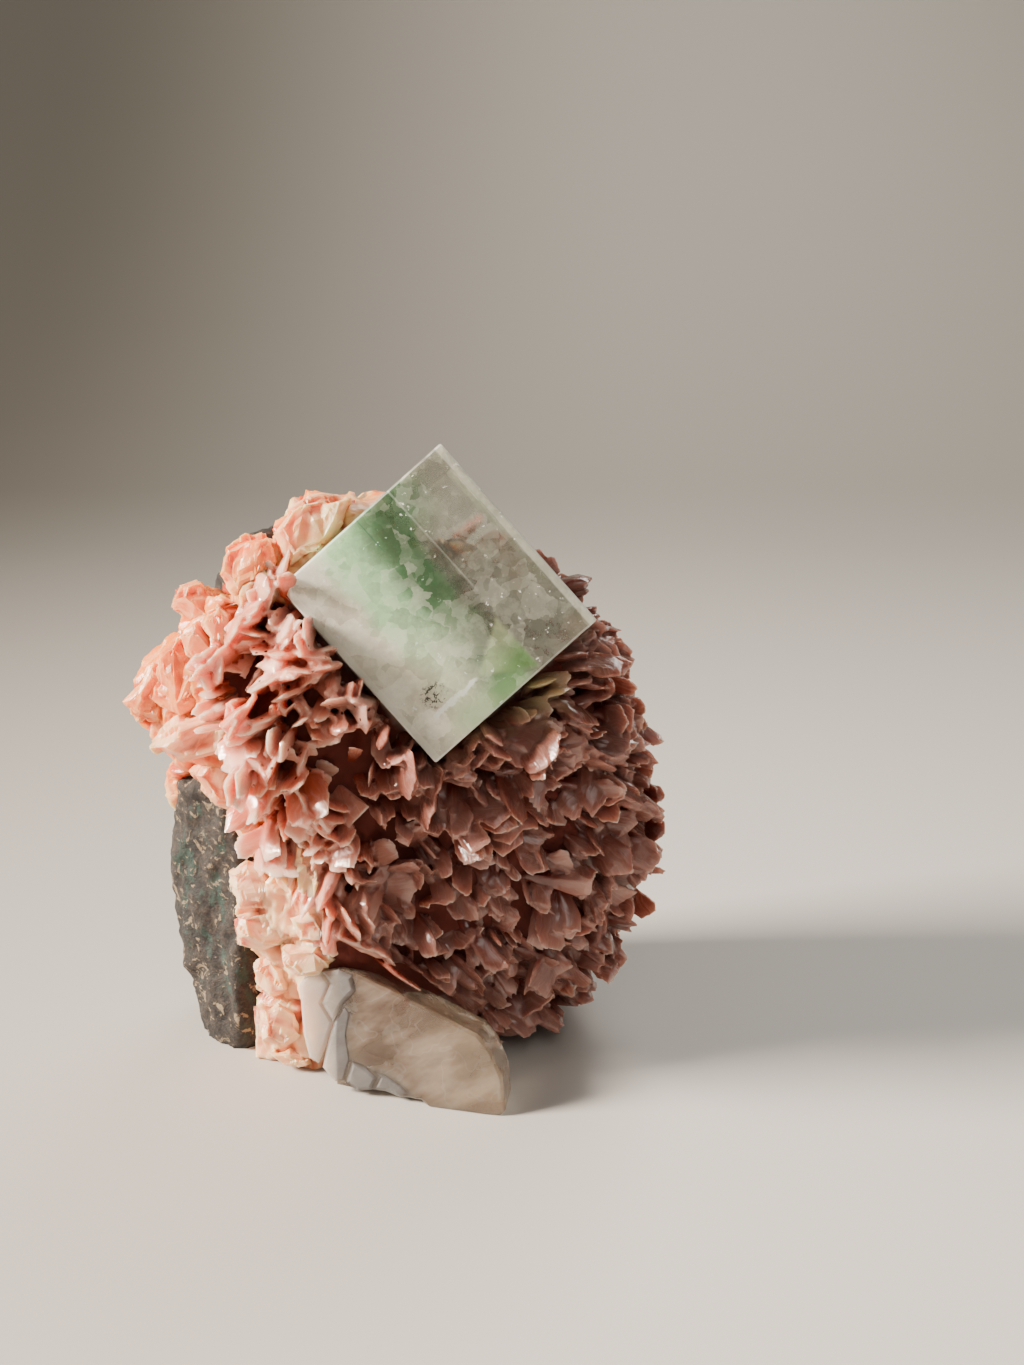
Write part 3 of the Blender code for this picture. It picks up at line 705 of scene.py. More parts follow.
def bladeFinish():
    # The tone attribute differs from blade to blade, and rise is 0 at a blade's root and 1 at its end
    finish = Finish("pink stilbite")
    spot = finish.place()
    tone, rise, edge = (finish.painted(name) for name in ("tone", "rise", "edge"))
    lines = finish.node("UVMap", {"uv_map": "growth"})
    streak = finish.noise(finish.stretched(lines, (0.26, 2.4, 1.0)), 1.0, 4.0, 0.6)
    cloud = finish.noise(spot, 0.9, 3.0)
    # Painted shade: from left to right the blades take the darker colours, where the druse turns away from
    # the light
    right = finish.along(spot, (1, 0, 0)).step(*bladeLook["shadeStart"])
    colour = finish.blend(right, finish.ramp(tone, bladeLook["left"]), finish.ramp(tone, bladeLook["right"]))
    light = finish.blend(right, bladeLook["paleLit"], bladeLook["paleShaded"])
    # Lighter streaks are the blades' own; the lighter edge faces are partly paler thin edges, partly painted
    # highlight
    colour = finish.blend(streak.step(0.45, 0.72) * 0.50 + edge * 0.30, colour, light)
    # Lighter clouds are the blades' own; the lighter ends are painted light
    colour = finish.blend(cloud.step(0.52, 0.72) * 0.30 + rise.step(0.85, 1.0) * 0.30, colour, light)
    # Painted shade: each blade darkens toward its root, where it stands among the others
    rootShade = finish.blend(right, bladeLook["rootShadeLeft"], bladeLook["rootShadeRight"])
    colour = finish.blend((1 - rise.step(0.40, 0.95)) * 0.96, colour, rootShade)
    # Painted green light, cast through the crystal onto the blades below its lower right edge, and dark
    # specks below its left corner
    greenLightFromCrystal = 1 - finish.distance(spot, bladeLook["greenLightSpot"]).step(2.5, 6.0)
    specks = 1 - finish.distance(spot, bladeLook["speckSpot"]).step(6.0, 9.0)
    specks = (1 - finish.cells(spot, 0.9).step(0.10, 0.15)) * specks
    colour = finish.layered(colour, bladeLook, [(greenLightFromCrystal * 0.75, "greenLightFromCrystal"), (specks, "specks")])
    shader = finish.shader(
        Base_Color=colour, Roughness=0.07 + 0.20 * cloud, IOR=1.54, Coat_Weight=0.3, Subsurface_Weight=1.0,
        Subsurface_Radius=(1.0, 0.66, 0.54), Subsurface_Scale=1.5 * mm,
        Normal=finish.bump(streak, 0.10 * mm, 0.7))
    return finish.surface(shader)


basaltLook = {
    "grain": [
        (0.30, (0.006, 0.005, 0.004)), (0.48, (0.020, 0.015, 0.012)), (0.62, (0.048, 0.035, 0.027)),
        (0.75, (0.10, 0.072, 0.050))],
    "teal": (0.018, 0.055, 0.043),
    "black": (0.010, 0.008, 0.008),
    "cream": (0.27, 0.20, 0.12),
}


def basaltFinish():
    finish = Finish("basalt")
    spot = finish.place()
    grain = finish.noise(spot, 2.2, 5.0, 0.7)
    patch = finish.noise(spot, 0.38, 4.0, 0.65)
    pale = finish.noise(spot, 0.8, 4.0, 0.7, 0.8)
    teal = finish.noise(finish.stretched(spot, (1.0, 1.0, 2.0)), 0.45, 4.0, 0.65)
    colour = finish.layered(finish.ramp(grain, basaltLook["grain"]), basaltLook, [
        (teal.step(0.54, 0.64) * 0.7, "teal"), (patch.step(0.52, 0.60) * 0.85, "black"),
        (pale.step(0.57, 0.62) * 0.8, "cream")])
    height = grain * 0.6 + pale * 0.4
    shader = finish.shader(
        Base_Color=colour, Roughness=0.55 + 0.35 * grain, Normal=finish.bump(height, 0.35 * mm, 1.0))
    return finish.surface(shader)


clearLook = {
    "refraction": 1.535,
    "clear": (0.36, 0.37, 0.31),
    "milk": (1.0, 0.94, 0.77),
    "lightGreen": (0.42, 0.82, 0.44),
    "deepGreen": (0.070, 0.165, 0.075),
    "brown": (0.50, 0.36, 0.25),
    "lightBreaks": (0.95, 0.95, 0.80),
    "darkBreaks": (0.20, 0.20, 0.14),
    "lowGreen": (0.26, 0.46, 0.20),
    "wedge": (0.46, 0.58, 0.30),
    "wedgeDeep": (0.14, 0.30, 0.10),
    "thinLine": (0.10, 0.25, 0.16),
    "rim": (0.78, 0.80, 0.66),
    "specks": (0.02, 0.02, 0.02),
    "speckSpot": onFace(0.205, 0.778),
    "highlightColour": (0.97, 0.99, 0.93),
    "greenHighlightColour": (0.60, 0.98, 0.80),
    "glass": (0.97, 0.95, 0.88),
    "greyGlass": (0.74, 0.72, 0.64),
    "greenGlass": (0.62, 0.90, 0.68),
    "deepGlass": (0.27, 0.52, 0.32),
}


def nearLine(value, place, inner, outer):
    # 1 on a line and 0 away from it
    return 1 - abs(value - place).step(inner, outer)


def clearFinish():
    # a and b are a spot's places on the crystal's front face: a rises to the right, b falls to the right
    finish = Finish("clear apophyllite")
    spot = finish.place()
    rising = finish.along(spot, crystalRising, (crystalCentre.dot(crystalRising) - crystalHalf.x) / mm)
    falling = finish.along(spot, crystalFalling, (crystalCentre.dot(crystalFalling) - crystalHalf.y) / mm)
    a = rising / (crystal["sideUp"] / mm)
    b = falling / (crystal["sideDown"] / mm)
    loose = a + (finish.noise(spot, 0.55, 4.0, 0.65) * 0.12 - 0.06)
    mottle = finish.noise(spot, 0.75, 6.0, 0.75)
    fine = finish.noise(spot, 2.4, 4.0, 0.7)
    bent, shaken = finish.shaken(spot, 0.9), finish.shaken(spot, 3.0)
    # Breaks inside, as angular patches that are lighter or darker
    breaks = finish.cells(bent, 0.50, output=1) * 0.6 + finish.cells(bent, 1.3, output=1) * 0.4
    # The band across the face: milky, light green, deep green, clear
    start = 1 - b.step(0.0, 0.30)
    half = 0.10 + 0.09 * start
    off = abs(loose - (0.535 - 0.04 * b + 0.11 * start))
    fade = abs(b - 0.70).step(0.04, 0.24)
    milk = 1 - loose.step(0.26, 0.60)
    light = loose.step(0.16, 0.26) * (1 - loose.step(0.54, 0.64)) * (1 - 0.7 * b.step(0.35, 0.85))
    deep = (1 - off.step(half * 0.4, half * 1.5)) * (0.25 + 0.75 * fade)
    clear = loose.step(0.60, 0.70)
    brown = finish.noise(spot, 0.28, 3.0, 0.6).step(0.50, 0.64) * (1 - light)
    # The wedge near the lower right edge, and a painted highlight: the back edge that shows through as a
    # white streak
    wedge = (a - (0.68 - (b - 0.68) * 1.7)).step(-0.01, 0.05) * (1 - a.step(0.645, 0.675))
    wedge = wedge * (a - (0.404 + (b - 0.843) * 1.7)).step(-0.02, 0.05)
    wedgeDeep = wedge * (b + 0.5 * a).step(1.08, 1.24)
    lowGreen = b.step(0.84, 0.95) * (1 - a.step(0.58, 0.66)) * a.step(0.08, 0.26) * (1 - wedge)
    streak = nearLine(b, 0.81 + 0.08 * mottle, 0.004, 0.014) * a.step(0.12, 0.16) * (1 - a.step(0.38, 0.42))
    line = nearLine(a, 0.672 + 0.01 * b, 0.002, 0.007) * (1 - b.step(0.50, 0.60))
    thin = nearLine(a, 0.475, 0.001, 0.005) * (1 - b.step(0.15, 0.22))
    # Lighter strips along two edges: at the upper right a painted highlight, where the side face catches
    # light at a grazing angle, and a pale strip at the lower left
    rim = (a.step(0.955, 0.965) + (1 - a.step(0.030, 0.040))).smaller(1.0)
    specks = 1 - finish.distance(spot, clearLook["speckSpot"]).step(0.6, 1.5)
    specks = specks * finish.noise(spot, 3.2, 3.0, 0.7).step(0.52, 0.60)
    # Painted glints: small bright spots across the face
    glintSpots = 1 - finish.cells(shaken, 1.1).step(0.07, 0.15)
    glintSpots = glintSpots * finish.noise(spot, 0.45, 2.0).step(0.46, 0.56)
    glintSpots = glintSpots + finish.noise(spot, 2.1, 5.0, 0.85, 0.6).step(0.65, 0.72) * 0.7
    # Painted highlights in one mask: the glints, the white streak, the faint bright line and the bevelled
    # edges
    paintedHighlights = glintSpots.smaller(1.0) + streak * 0.8 + line * 0.22 + finish.painted("edge") * 0.30
    paintedHighlights = paintedHighlights.smaller(1.0)
    milky = finish.layered(finish.blend(milk, clearLook["clear"], clearLook["milk"]), clearLook, [
        (light * 0.80, "lightGreen"), (deep * 0.95, "deepGreen"), (brown * 0.2, "brown"),
        (breaks.step(0.45, 0.75) * 0.34, "lightBreaks"),
        ((1 - breaks).step(0.45, 0.75) * 0.26, "darkBreaks"),
        (lowGreen * 0.55, "lowGreen"), (wedge * 0.5, "wedge"), (wedgeDeep * 0.85, "wedgeDeep"),
        (thin * 0.7, "thinLine"), (rim * 0.5, "rim"), (specks * 0.9, "specks")])
    highlightColour = finish.blend(light * 0.7, clearLook["highlightColour"], clearLook["greenHighlightColour"])
    milky = finish.blend(paintedHighlights, milky, highlightColour)
    deepest = (deep + wedgeDeep + lowGreen * 0.5).smaller(1.0)
    tint = finish.layered(clearLook["glass"], clearLook, [
        (clear * 0.8, "greyGlass"), (light * 0.75, "greenGlass"), (deepest * 0.95, "deepGlass")])
    glass = finish.shader(
        Base_Color=tint, Roughness=0.02, IOR=clearLook["refraction"], Transmission_Weight=1.0,
        Normal=finish.bump(fine, 0.02 * mm, 0.25))
    cloud = finish.shader(
        Base_Color=milky, Roughness=0.08, IOR=clearLook["refraction"], Subsurface_Weight=0.5,
        Subsurface_Radius=(1.0, 1.0, 0.92), Subsurface_Scale=3 * mm,
        Normal=finish.bump(fine, 0.03 * mm, 0.3))
    share = 0.16 + 0.62 * milk + 0.10 * light + 0.28 * deep + 0.20 * (breaks - 0.5) + paintedHighlights * 0.6
    share = share + 0.22 * clear * b.step(0.30, 0.70) + 0.12 * mottle.step(0.45, 0.60)
    share = share + 0.4 * wedge + 0.3 * lowGreen + 0.3 * rim + specks
    mixed = finish.node("MixShader", {}, {0: share.larger(0.05).smaller(0.95), 1: glass, 2: cloud})
    return finish.surface(mixed)


paleLook = {
    "refraction": 1.5,
    "clouds": [(0.35, (0.25, 0.17, 0.12)), (0.55, (0.32, 0.235, 0.17)), (0.72, (0.52, 0.42, 0.33))],
    "tip": (0.62, 0.50, 0.33),
    "tipStart": (2.0, 9.0),      # in millimetres from the middle toward the blade's end
    "milk": (0.97, 0.84, 0.75),
    "cracks": (0.92, 0.90, 0.86),
    "glass": (0.97, 0.93, 0.87),
}


def paleFinish():
    finish = Finish("pale stilbite")
    spot = finish.place()
    milky = finish.painted("milky")
    cloudy = finish.noise(finish.stretched(spot, (2.2, 1.0, 1.0), (0.0, -0.5, 0.0)), 0.30, 4.0, 0.55)
    fine = finish.noise(finish.stretched(spot, (5.0, 1.0, 1.0), (0.0, -0.55, 0.0)), 1.2, 4.0, 0.6)
    crack = nearLine(finish.noise(spot, 0.32, 2.0, 0.5), 0.5, 0.003, 0.012)
    tip = finish.along(spot, -paleBlade["run"]).step(*paleLook["tipStart"])
    colour = finish.layered(finish.ramp(cloudy, paleLook["clouds"]), paleLook, [
        (tip * 0.3, "tip"), (milky * 0.8, "milk"), (crack * 0.12, "cracks")])
    glass = finish.shader(
        Base_Color=paleLook["glass"], Roughness=0.12, IOR=paleLook["refraction"], Transmission_Weight=1.0,
        Normal=finish.bump(fine, 0.05 * mm, 0.3))
    cloud = finish.shader(
        Base_Color=colour, Roughness=0.12, IOR=paleLook["refraction"], Subsurface_Weight=0.9,
        Subsurface_Radius=(1.0, 0.85, 0.7), Subsurface_Scale=3.5 * mm,
        Normal=finish.bump(fine, 0.06 * mm, 0.35))
    share = 0.24 + 0.25 * cloudy.step(0.4, 0.7) + 0.4 * milky
    return finish.surface(finish.node("MixShader", {}, {0: share, 1: glass, 2: cloud}))


floorLook = {
    "distance": (-60.0, 240.0),  # in millimetres, from near to distant
    "side": (-130.0, 50.0),      # in millimetres, from left to right
    "near": ((0.22, 0.21, 0.195), (0.62, 0.60, 0.565)),
    "shadedDistant": ((0.055, 0.052, 0.045), (0.21, 0.20, 0.18)),
}


def floorFinish():
    # Painted shade: the floor darkens toward the back and to the left. Each pair of colours goes from left
    # to right
    finish = Finish("pale floor")
    spot = finish.place()
    far = finish.along(spot, (0, 1, 0)).step(*floorLook["distance"])
    right = finish.along(spot, (1, 0, 0)).step(*floorLook["side"])
    near, shadedDistant = (finish.blend(right, *floorLook[name]) for name in ("near", "shadedDistant"))
    return finish.surface(finish.shader(Base_Color=finish.blend(far, near, shadedDistant), Roughness=0.6))


blades = {
    "seed": 5,
    "rootDepth": 3.0 * mm,
    "rim": 0.045 * mm,           # half of the thickness at a plate's edge
    "thickness": (0.28, 0.48),   # shares of the width
    "wander": math.radians(38),  # of a sheaf's way about the way out from the growth centre
    "lift": (math.radians(18), math.radians(62)),
    "roll": math.radians(38),
    "fan": math.radians(19),     # between neighbours in a sheaf
    "overhang": 1.6 * mm,        # of the tips past the body's outline
    "rear": 14.0 * mm,           # the farthest back that a tip reaches
    "floorGap": 0.3 * mm,
    "guestGap": 0.5 * mm,        # from the clear crystal and the pale blade
    "basaltGap": 0.9 * mm,
    "largeLift": 3.0 * mm,       # of the large blades' tips over the crust
    "largeClear": 2.6,           # pixels kept clear of a large blade, per millimetre of its width
    "largeRoot": 0.45,           # how much of a large blade's length may be hidden
    "behindGap": 9.0 * mm,       # behind the clear crystal
    "spread": 0.35,              # chance in the fan, as a share of its angle
    "twist": math.radians(14),   # of each blade in a sheaf
    "sideStep": 0.5 * mm,
    "rootSink": 0.6 * mm,
    "passes": [
        {"count": 240, "spacing": 2.7 * mm, "reach": (3.4 * mm, 5.2 * mm), "width": (2.3 * mm, 3.6 * mm),
         "sheaf": (2, 3)},
        {"count": 420, "spacing": 1.8 * mm, "reach": (2.2 * mm, 3.8 * mm), "width": (1.9 * mm, 2.9 * mm),
         "sheaf": (1, 2)},
        {"count": 560, "spacing": 1.1 * mm, "reach": (1.2 * mm, 2.2 * mm), "width": (1.2 * mm, 2.1 * mm),
         "sheaf": (1, 1)},
    ],
    "tries": 60,
    "voxel": 0.17 * mm,          # of the skin that joins the blades
    "keep": 0.175,               # of the skin's faces
    "crease": math.radians(30),  # past which an edge of the skin is sharp
}
# Broad outlines of plates: shares of the width to either side, and of the length from the root
bladeOutlines = [
    [(-0.17, 0.0), (-0.50, 0.84), (-0.04, 1.0), (0.50, 0.76), (0.18, 0.0)],
    [(-0.16, 0.0), (-0.50, 0.76), (-0.42, 0.90), (0.14, 1.0), (0.50, 0.83), (0.17, 0.0)],
    [(-0.18, 0.0), (-0.48, 0.92), (-0.28, 1.0), (0.38, 0.90), (0.50, 0.72), (0.17, 0.0)],
    [(-0.17, 0.0), (-0.50, 0.68), (-0.46, 0.80), (-0.14, 1.0), (0.50, 0.89), (0.19, 0.0)],
    [(-0.19, 0.0), (-0.44, 1.0), (0.34, 0.95), (0.50, 0.78), (0.18, 0.0)],
]


plate = {
    "jitter": 0.05,              # of a corner, as a share of the width
    "narrow": (0.52, 0.84),      # the broad face's width, as a share of the plate's
    "pull": (0.05, 0.20),        # how far short of the end the broad face stops
    "shift": 0.07,               # of the broad face to a side
    "heights": (0.22, 0.28),     # of the broad face at the root, and more in the middle
    "slopeEdge": 0.3,            # how far a slope counts as an edge
}


def addPlate(target, place, width, length, thick, form, tone, draw):
    # One flat crystal: two broad faces that slope down to a thin edge, thinner at the root and the end
    shape = bmesh.new()
    tones = shape.verts.layers.float.new("tone")
    rises = shape.verts.layers.float.new("rise")
    # The edge value marks faces that the finish lightens: partly paler thin edges, partly painted highlight
    edges = shape.faces.layers.float.new("edge")
    lines = shape.loops.layers.uv.new("growth")
    outer = []
    for across, along in form:
        jitter = draw.uniform(-plate["jitter"], plate["jitter"])
        outer.append(Vector(((across + jitter) * width, (along - abs(jitter) * along) * length, 0)))
    rings = []
    for side in (1, -1):
        narrow, pull = draw.uniform(*plate["narrow"]), draw.uniform(*plate["pull"])
        shift = draw.uniform(-plate["shift"], plate["shift"]) * width
        broad = []
        for spot in outer:
            share = spot.y / length
            swell = math.sin(math.pi * min(1.0, 0.12 + 0.8 * share))
            height = thick * (plate["heights"][0] + plate["heights"][1] * swell) * side
            broad.append(Vector((spot.x * narrow + shift * share, spot.y * (1 - pull * share), height)))
        edge = [spot + Vector((0, 0, side * blades["rim"])) for spot in outer]
        rings += [broad, edge] if side > 0 else [edge, broad]
    rings = [[shape.verts.new(spot) for spot in ring] for ring in rings]
    for strip, (low, high) in enumerate(zip(rings, rings[1:])):
        for face in wallBetween(shape, low, high):
            face[edges] = 1.0 if strip == 1 else plate["slopeEdge"]
    shape.faces.new(rings[0][::-1])
    shape.faces.new(rings[-1])
    bmesh.ops.recalc_face_normals(shape, faces=shape.faces)
    start = draw.uniform(0, 50)
    for vert in shape.verts:
        vert[tones] = tone
        vert[rises] = min(1.0, max(0.0, vert.co.y / length))
    for item in shape.faces:
        for loop in item.loops:
            spot = loop.vert.co / mm
            loop[lines].uv = (start + spot.x + spot.z * 1.3, spot.y)
    bmesh.ops.transform(shape, matrix=place, verts=shape.verts)
    joinInto(target, shape)


def placeAlong(root, along, broad):
    across = along.cross(broad).normalized()
    matrix = Matrix((across, along, across.cross(along))).transposed().to_4x4()
    matrix.translation = root
    return matrix


def addBlade(target, root, tip, width, broad, tone, draw):
    # A blade is a few plates grown side by side, which spread a little toward its end
    length = (tip - root).length
    along = (tip - root) / length
    plates = draw.choice((1, 1, 2, 2))
    thick = width * draw.uniform(*blades["thickness"])
    place = placeAlong(root, along, broad)
    for index in range(plates):
        off = index - (plates - 1) / 2
        spread = Matrix.Rotation(math.radians(draw.uniform(-7, 7) + 6 * off), 4, "Z")
        lean = Matrix.Rotation(math.radians(draw.uniform(-5, 5)), 4, "X")
        shift = Matrix.Translation((off * width * 0.20, 0, off * thick * 0.7))
        form = draw.choice(bladeOutlines)
        addPlate(
            target, place @ shift @ spread @ lean, width * draw.uniform(0.75, 1.0),
            length * (1 - 0.10 * abs(off) - draw.uniform(0, 0.08)), thick * draw.uniform(0.6, 0.9),
            form, min(1.0, max(0.0, tone + draw.uniform(-0.12, 0.12))), draw)


# The blades that stand out, with their roots and tips as pixels, widths in millimetres, and the turn
# of the broad side about the length in degrees
largeBlades = [
    ((313, 705), (336, 755), 3.0, 20), ((335, 712), (356, 738), 2.0, -30), ((378, 712), (377, 788), 2.3, 10),
    ((268, 745), (319, 752), 2.2, 50), ((284, 778), (341, 780), 2.2, 40), ((330, 787), (371, 822), 3.4, 15),
    ((380, 795), (398, 826), 2.4, -20), ((424, 741), (420, 797), 3.0, 5), ((455, 770), (484, 842), 3.4, 15),
    ((442, 775), (452, 840), 2.0, -25), ((340, 877), (382, 869), 1.7, 70), ((362, 905), (426, 900), 3.2, 20),
    ((368, 912), (397, 939), 2.8, -15), ((350, 860), (392, 842), 3.0, 25), ((402, 850), (424, 813), 2.2, 35),
    ((385, 865), (431, 856), 1.8, 60), ((566, 850), (577, 912), 3.0, 10), ((590, 840), (637, 884), 3.4, 20),
    ((590, 800), (628, 819), 2.4, -30), ((568, 738), (609, 718), 3.1, 15), ((586, 752), (574, 840), 3.4, 5),
    ((548, 722), (542, 828), 2.2, -10), ((500, 812), (513, 862), 3.4, 10), ((532, 866), (571, 850), 2.8, 30),
    ((466, 862), (465, 904), 2.2, -20), ((538, 868), (540, 923), 2.4, 15), ((455, 930), (483, 946), 2.8, 10),
    ((495, 911), (526, 926), 2.8, 30), ((488, 957), (520, 959), 1.6, 65), ((448, 950), (463, 996), 2.6, 10),
    ((405, 985), (437, 996), 2.4, -25), ((390, 955), (383, 990), 1.5, 55), ((590, 652), (629, 666), 2.6, 20),
    ((530, 692), (588, 690), 2.8, 30), ((490, 718), (510, 755), 2.8, -10), ((262, 633), (240, 676), 2.4, 20),
    ((286, 636), (303, 701), 1.9, -15), ((250, 590), (284, 600), 3.2, 10), ((345, 645), (352, 690), 2.6, 20),
    ((556, 743), (561, 761), 1.2, 0), ((428, 879), (441, 866), 1.3, 20), ((425, 895), (441, 906), 1.4, -20),
    ((418, 912), (443, 935), 2.0, 10), ((504, 866), (512, 903), 1.8, -10), ((640, 868), (660, 865), 1.3, 40),
    ((355, 930), (397, 940), 2.6, 15), ((357, 930), (386, 917), 1.7, -20), ((417, 930), (418, 948), 1.2, 0),
    ((475, 957), (497, 986), 2.1, 20), ((445, 996), (459, 1020), 1.9, -10),
    ((546, 950), (559, 963), 1.7, 10), ((560, 958), (603, 973), 2.7, 20),
    ((600, 946), (625, 956), 1.7, 30), ((604, 927), (627, 936), 1.6, -20),
    ((628, 890), (657, 914), 2.5, 10), ((520, 983), (560, 1003), 3.0, 15),
    ((480, 1018), (508, 1036), 2.3, 10), ((513, 1000), (539, 1018), 2.5, -15),
    ((560, 980), (574, 989), 1.1, 30), ((638, 712), (655, 722), 1.5, 20),
    ((644, 733), (660, 750), 1.6, -10), ((646, 760), (655, 778), 1.5, 15), ((648, 792), (667, 795), 1.7, 25),
    ((650, 806), (668, 812), 1.7, -20), ((650, 828), (667, 837), 1.9, 10), ((646, 846), (659, 866), 1.7, 20),
    ((604, 744), (632, 753), 2.5, -15), ((505, 696), (560, 716), 2.4, 10), ((408, 690), (470, 725), 2.0, 20),
    ((618, 706), (640, 690), 1.9, 25), ((600, 690), (628, 703), 2.2, -20), ((470, 880), (492, 900), 2.0, 30),
    ((605, 780), (640, 770), 2.3, 20), ((520, 770), (528, 800), 2.0, 0), ((480, 770), (500, 800), 2.4, 20),
]


def isClear(spot, isEnd, guests):
    # True where a spot is outside the guests, and for a blade's end, not in front of one either
    ray = spot - view["eye"]
    for guest in guests:
        near, normal, _, away = guest.find_nearest(spot)
        if away < blades["guestGap"] or (spot - near).dot(normal) < 0:
            return False
        beyond, _, _, _ = guest.ray_cast(spot, ray)
        if beyond is not None and isEnd:
            return False
    return True


def bladeIsClear(root, tip, width, broad, guests):
    across = (tip - root).cross(broad).normalized() * width
    spots = (
        (0.2, 0.0, False), (0.5, -0.2, False), (0.5, 0.2, False), (0.75, -0.45, True), (0.75, 0.45, True),
        (1.0, -0.3, True), (1.0, 0.3, True))
    return all(isClear(root.lerp(tip, share) + across * side, isEnd, guests) for share, side, isEnd in spots)


def growLarge(target, tree, guests, draw):
    spots = []
    kept = []
    for rootPixel, tipPixel, width, turn in largeBlades:
        ray = viewRay(rootPixel).normalized()
        root, _, _, _ = tree.ray_cast(view["eye"], ray)
        tipRay = viewRay(tipPixel).normalized()
        under, _, _, _ = tree.ray_cast(view["eye"], tipRay)
        if root is None:
            root = onPlane(rootPixel, body["point"], body["normal"])
        if under is None:
            under = onPlane(tipPixel, root, Vector((0, 1, 0)))
        tip = under - tipRay * blades["largeLift"]
        root = root - (tip - root).normalized() * blades["rootDepth"] + ray * blades["rootDepth"] * 0.5
        broad = Matrix.Rotation(math.radians(turn), 3, (tip - root).normalized()) @ -tipRay
        for _ in range(3):
            if bladeIsClear(root, tip, width * mm, broad, guests):
                break
            width *= 0.85
            root, tip = root.lerp(tip, 0.12), root.lerp(tip, 0.94)
        if bladeIsClear(root, tip, width * mm, broad, guests):
            addBlade(target, root, tip, width * mm, broad, draw.uniform(0.35, 0.9), draw)
            spots.append(under)
            kept.append((Vector(rootPixel), Vector(tipPixel), width))
    print("large blades", len(spots), "of", len(largeBlades))
    return spots, kept


def onDruse(spot, normal):
    # True where the crust carries blades
    facing = -normal.dot(body["normal"])
    aside = max(normal.x, normal.z * 0.8)
    atBack = facing < -0.3 or facing + aside < 0.45
    return pastRidge(spot) < 0 and not atBack and spot.z > 2.0 * mm


def hidesLarge(spot, large):
    # True where a spot would stand in front of one of the large blades
    pixel = toPixel(spot)
    for root, tip, width in large:
        run = tip - root
        share = (pixel - root).dot(run) / run.length_squared
        share = min(1.0, max(blades["largeRoot"], share))
        if (pixel - root - run * share).length < width * blades["largeClear"]:
            return True
    return False


def isBehind(spot, guest):
    # True where a spot is close behind a guest, as seen from the viewpoint
    near, _, _, _ = guest.ray_cast(spot, view["eye"] - spot)
    return near is not None and (near - spot).length < blades["behindGap"]


class Crowd:
    # Spots that are taken, in cells, so that a near one is found quickly
    def __init__(self, size):
        self.size = size
        self.cells = {}

    def cell(self, spot):
        return tuple(int(value // self.size) for value in spot)

    def add(self, spot):
        self.cells.setdefault(self.cell(spot), []).append(spot)

    def near(self, spot, distance):
        x, y, z = self.cell(spot)
        steps = (-1, 0, 1)
        cells = [(x + a, y + b, z + c) for a in steps for b in steps for c in steps]
        return any((spot - other).length < distance for key in cells for other in self.cells.get(key, ()))


def growSheaf(target, spot, smooth, settings, large, guests, draw):
    # Blades side by side from one spot of the crust. Returns how many of them found room.
    grown = (spot - growthCentre).normalized()
    level = (grown - smooth * grown.dot(smooth)).normalized()
    level = Matrix.Rotation(draw.gauss(0, blades["wander"]), 3, smooth) @ level
    lift = draw.uniform(*blades["lift"])
    axis = level * math.cos(lift) + smooth * math.sin(lift)
    broad = Matrix.Rotation(draw.gauss(0, blades["roll"]), 3, axis) @ smooth
    broad = (broad - axis * broad.dot(axis)).normalized()
    members = draw.randint(*settings["sheaf"])
    size = draw.random()
    tone = draw.random()
    grew = 0
    for index in range(members):
        off = index - (members - 1) / 2
        spread = blades["fan"] * (off + draw.uniform(-blades["spread"], blades["spread"]))
        along = Matrix.Rotation(spread, 3, broad) @ axis
        share = 0.7 * size + 0.3 * draw.random()
        least, most = settings["reach"]
        reach = (least + (most - least) * share) * (1 - 0.07 * abs(off))
        least, most = settings["width"]
        width = least + (most - least) * (0.5 * share + 0.5 * draw.random())
        start = spot + broad * draw.uniform(-1, 1) * blades["sideStep"]
        tip = start + along * (reach + crust["sinkUnderBlades"])
        angle, share = outline.place(tip)
        excess = (share - 1) * outline.reach(angle) - blades["overhang"]
        if excess > 0:
            tip -= along * min(excess, reach * 0.6)
        turned = Matrix.Rotation(draw.gauss(0, blades["twist"]), 3, along) @ broad
        outside = tip.z - width / 2 < blades["floorGap"] or tip.y > blades["rear"]
        if outside or not bladeIsClear(start, tip, width, turned, guests):
            continue
        if hidesLarge(tip, large) or hidesLarge(start.lerp(tip, 0.6), large) or isBehind(tip, guests[0]):
            continue
        root = start - along * (blades["rootDepth"] - crust["sinkUnderBlades"])
        root -= smooth * blades["rootSink"]
        likeness = min(1.0, max(0.0, tone + draw.uniform(-0.25, 0.25)))
        addBlade(target, root, tip, width, turned, likeness, draw)
        grew += 1
    return grew


def growSmall(target, shape, tree, basaltTree, taken, large, guests, draw):
    faces = [face for face in shape.faces if len(face.verts) == 3]
    areas = [face.calc_area() for face in faces]
    for settings in blades["passes"]:
        placed = 0
        crowd = Crowd(settings["spacing"])
        for spot in taken:
            crowd.add(spot)
        for face in draw.choices(faces, weights=areas, k=blades["tries"] * settings["count"]):
            if placed >= settings["count"]:
                break
            spot = face.calc_center_median()
            if crowd.near(spot, settings["spacing"]):
                continue
            _, normal, _, _ = tree.find_nearest(spot)
            smooth = (normal + 2 * (spot - outline.middle).normalized()).normalized()
            near, facing, _, away = basaltTree.find_nearest(spot)
            atBasalt = away < blades["basaltGap"] or (spot - near).dot(facing) < 0
            if atBasalt or not onDruse(spot, smooth):
                continue
            if growSheaf(target, spot, smooth, settings, large, guests, draw):
                crowd.add(spot)
                placed += 1
        print("blades on the crust", placed)


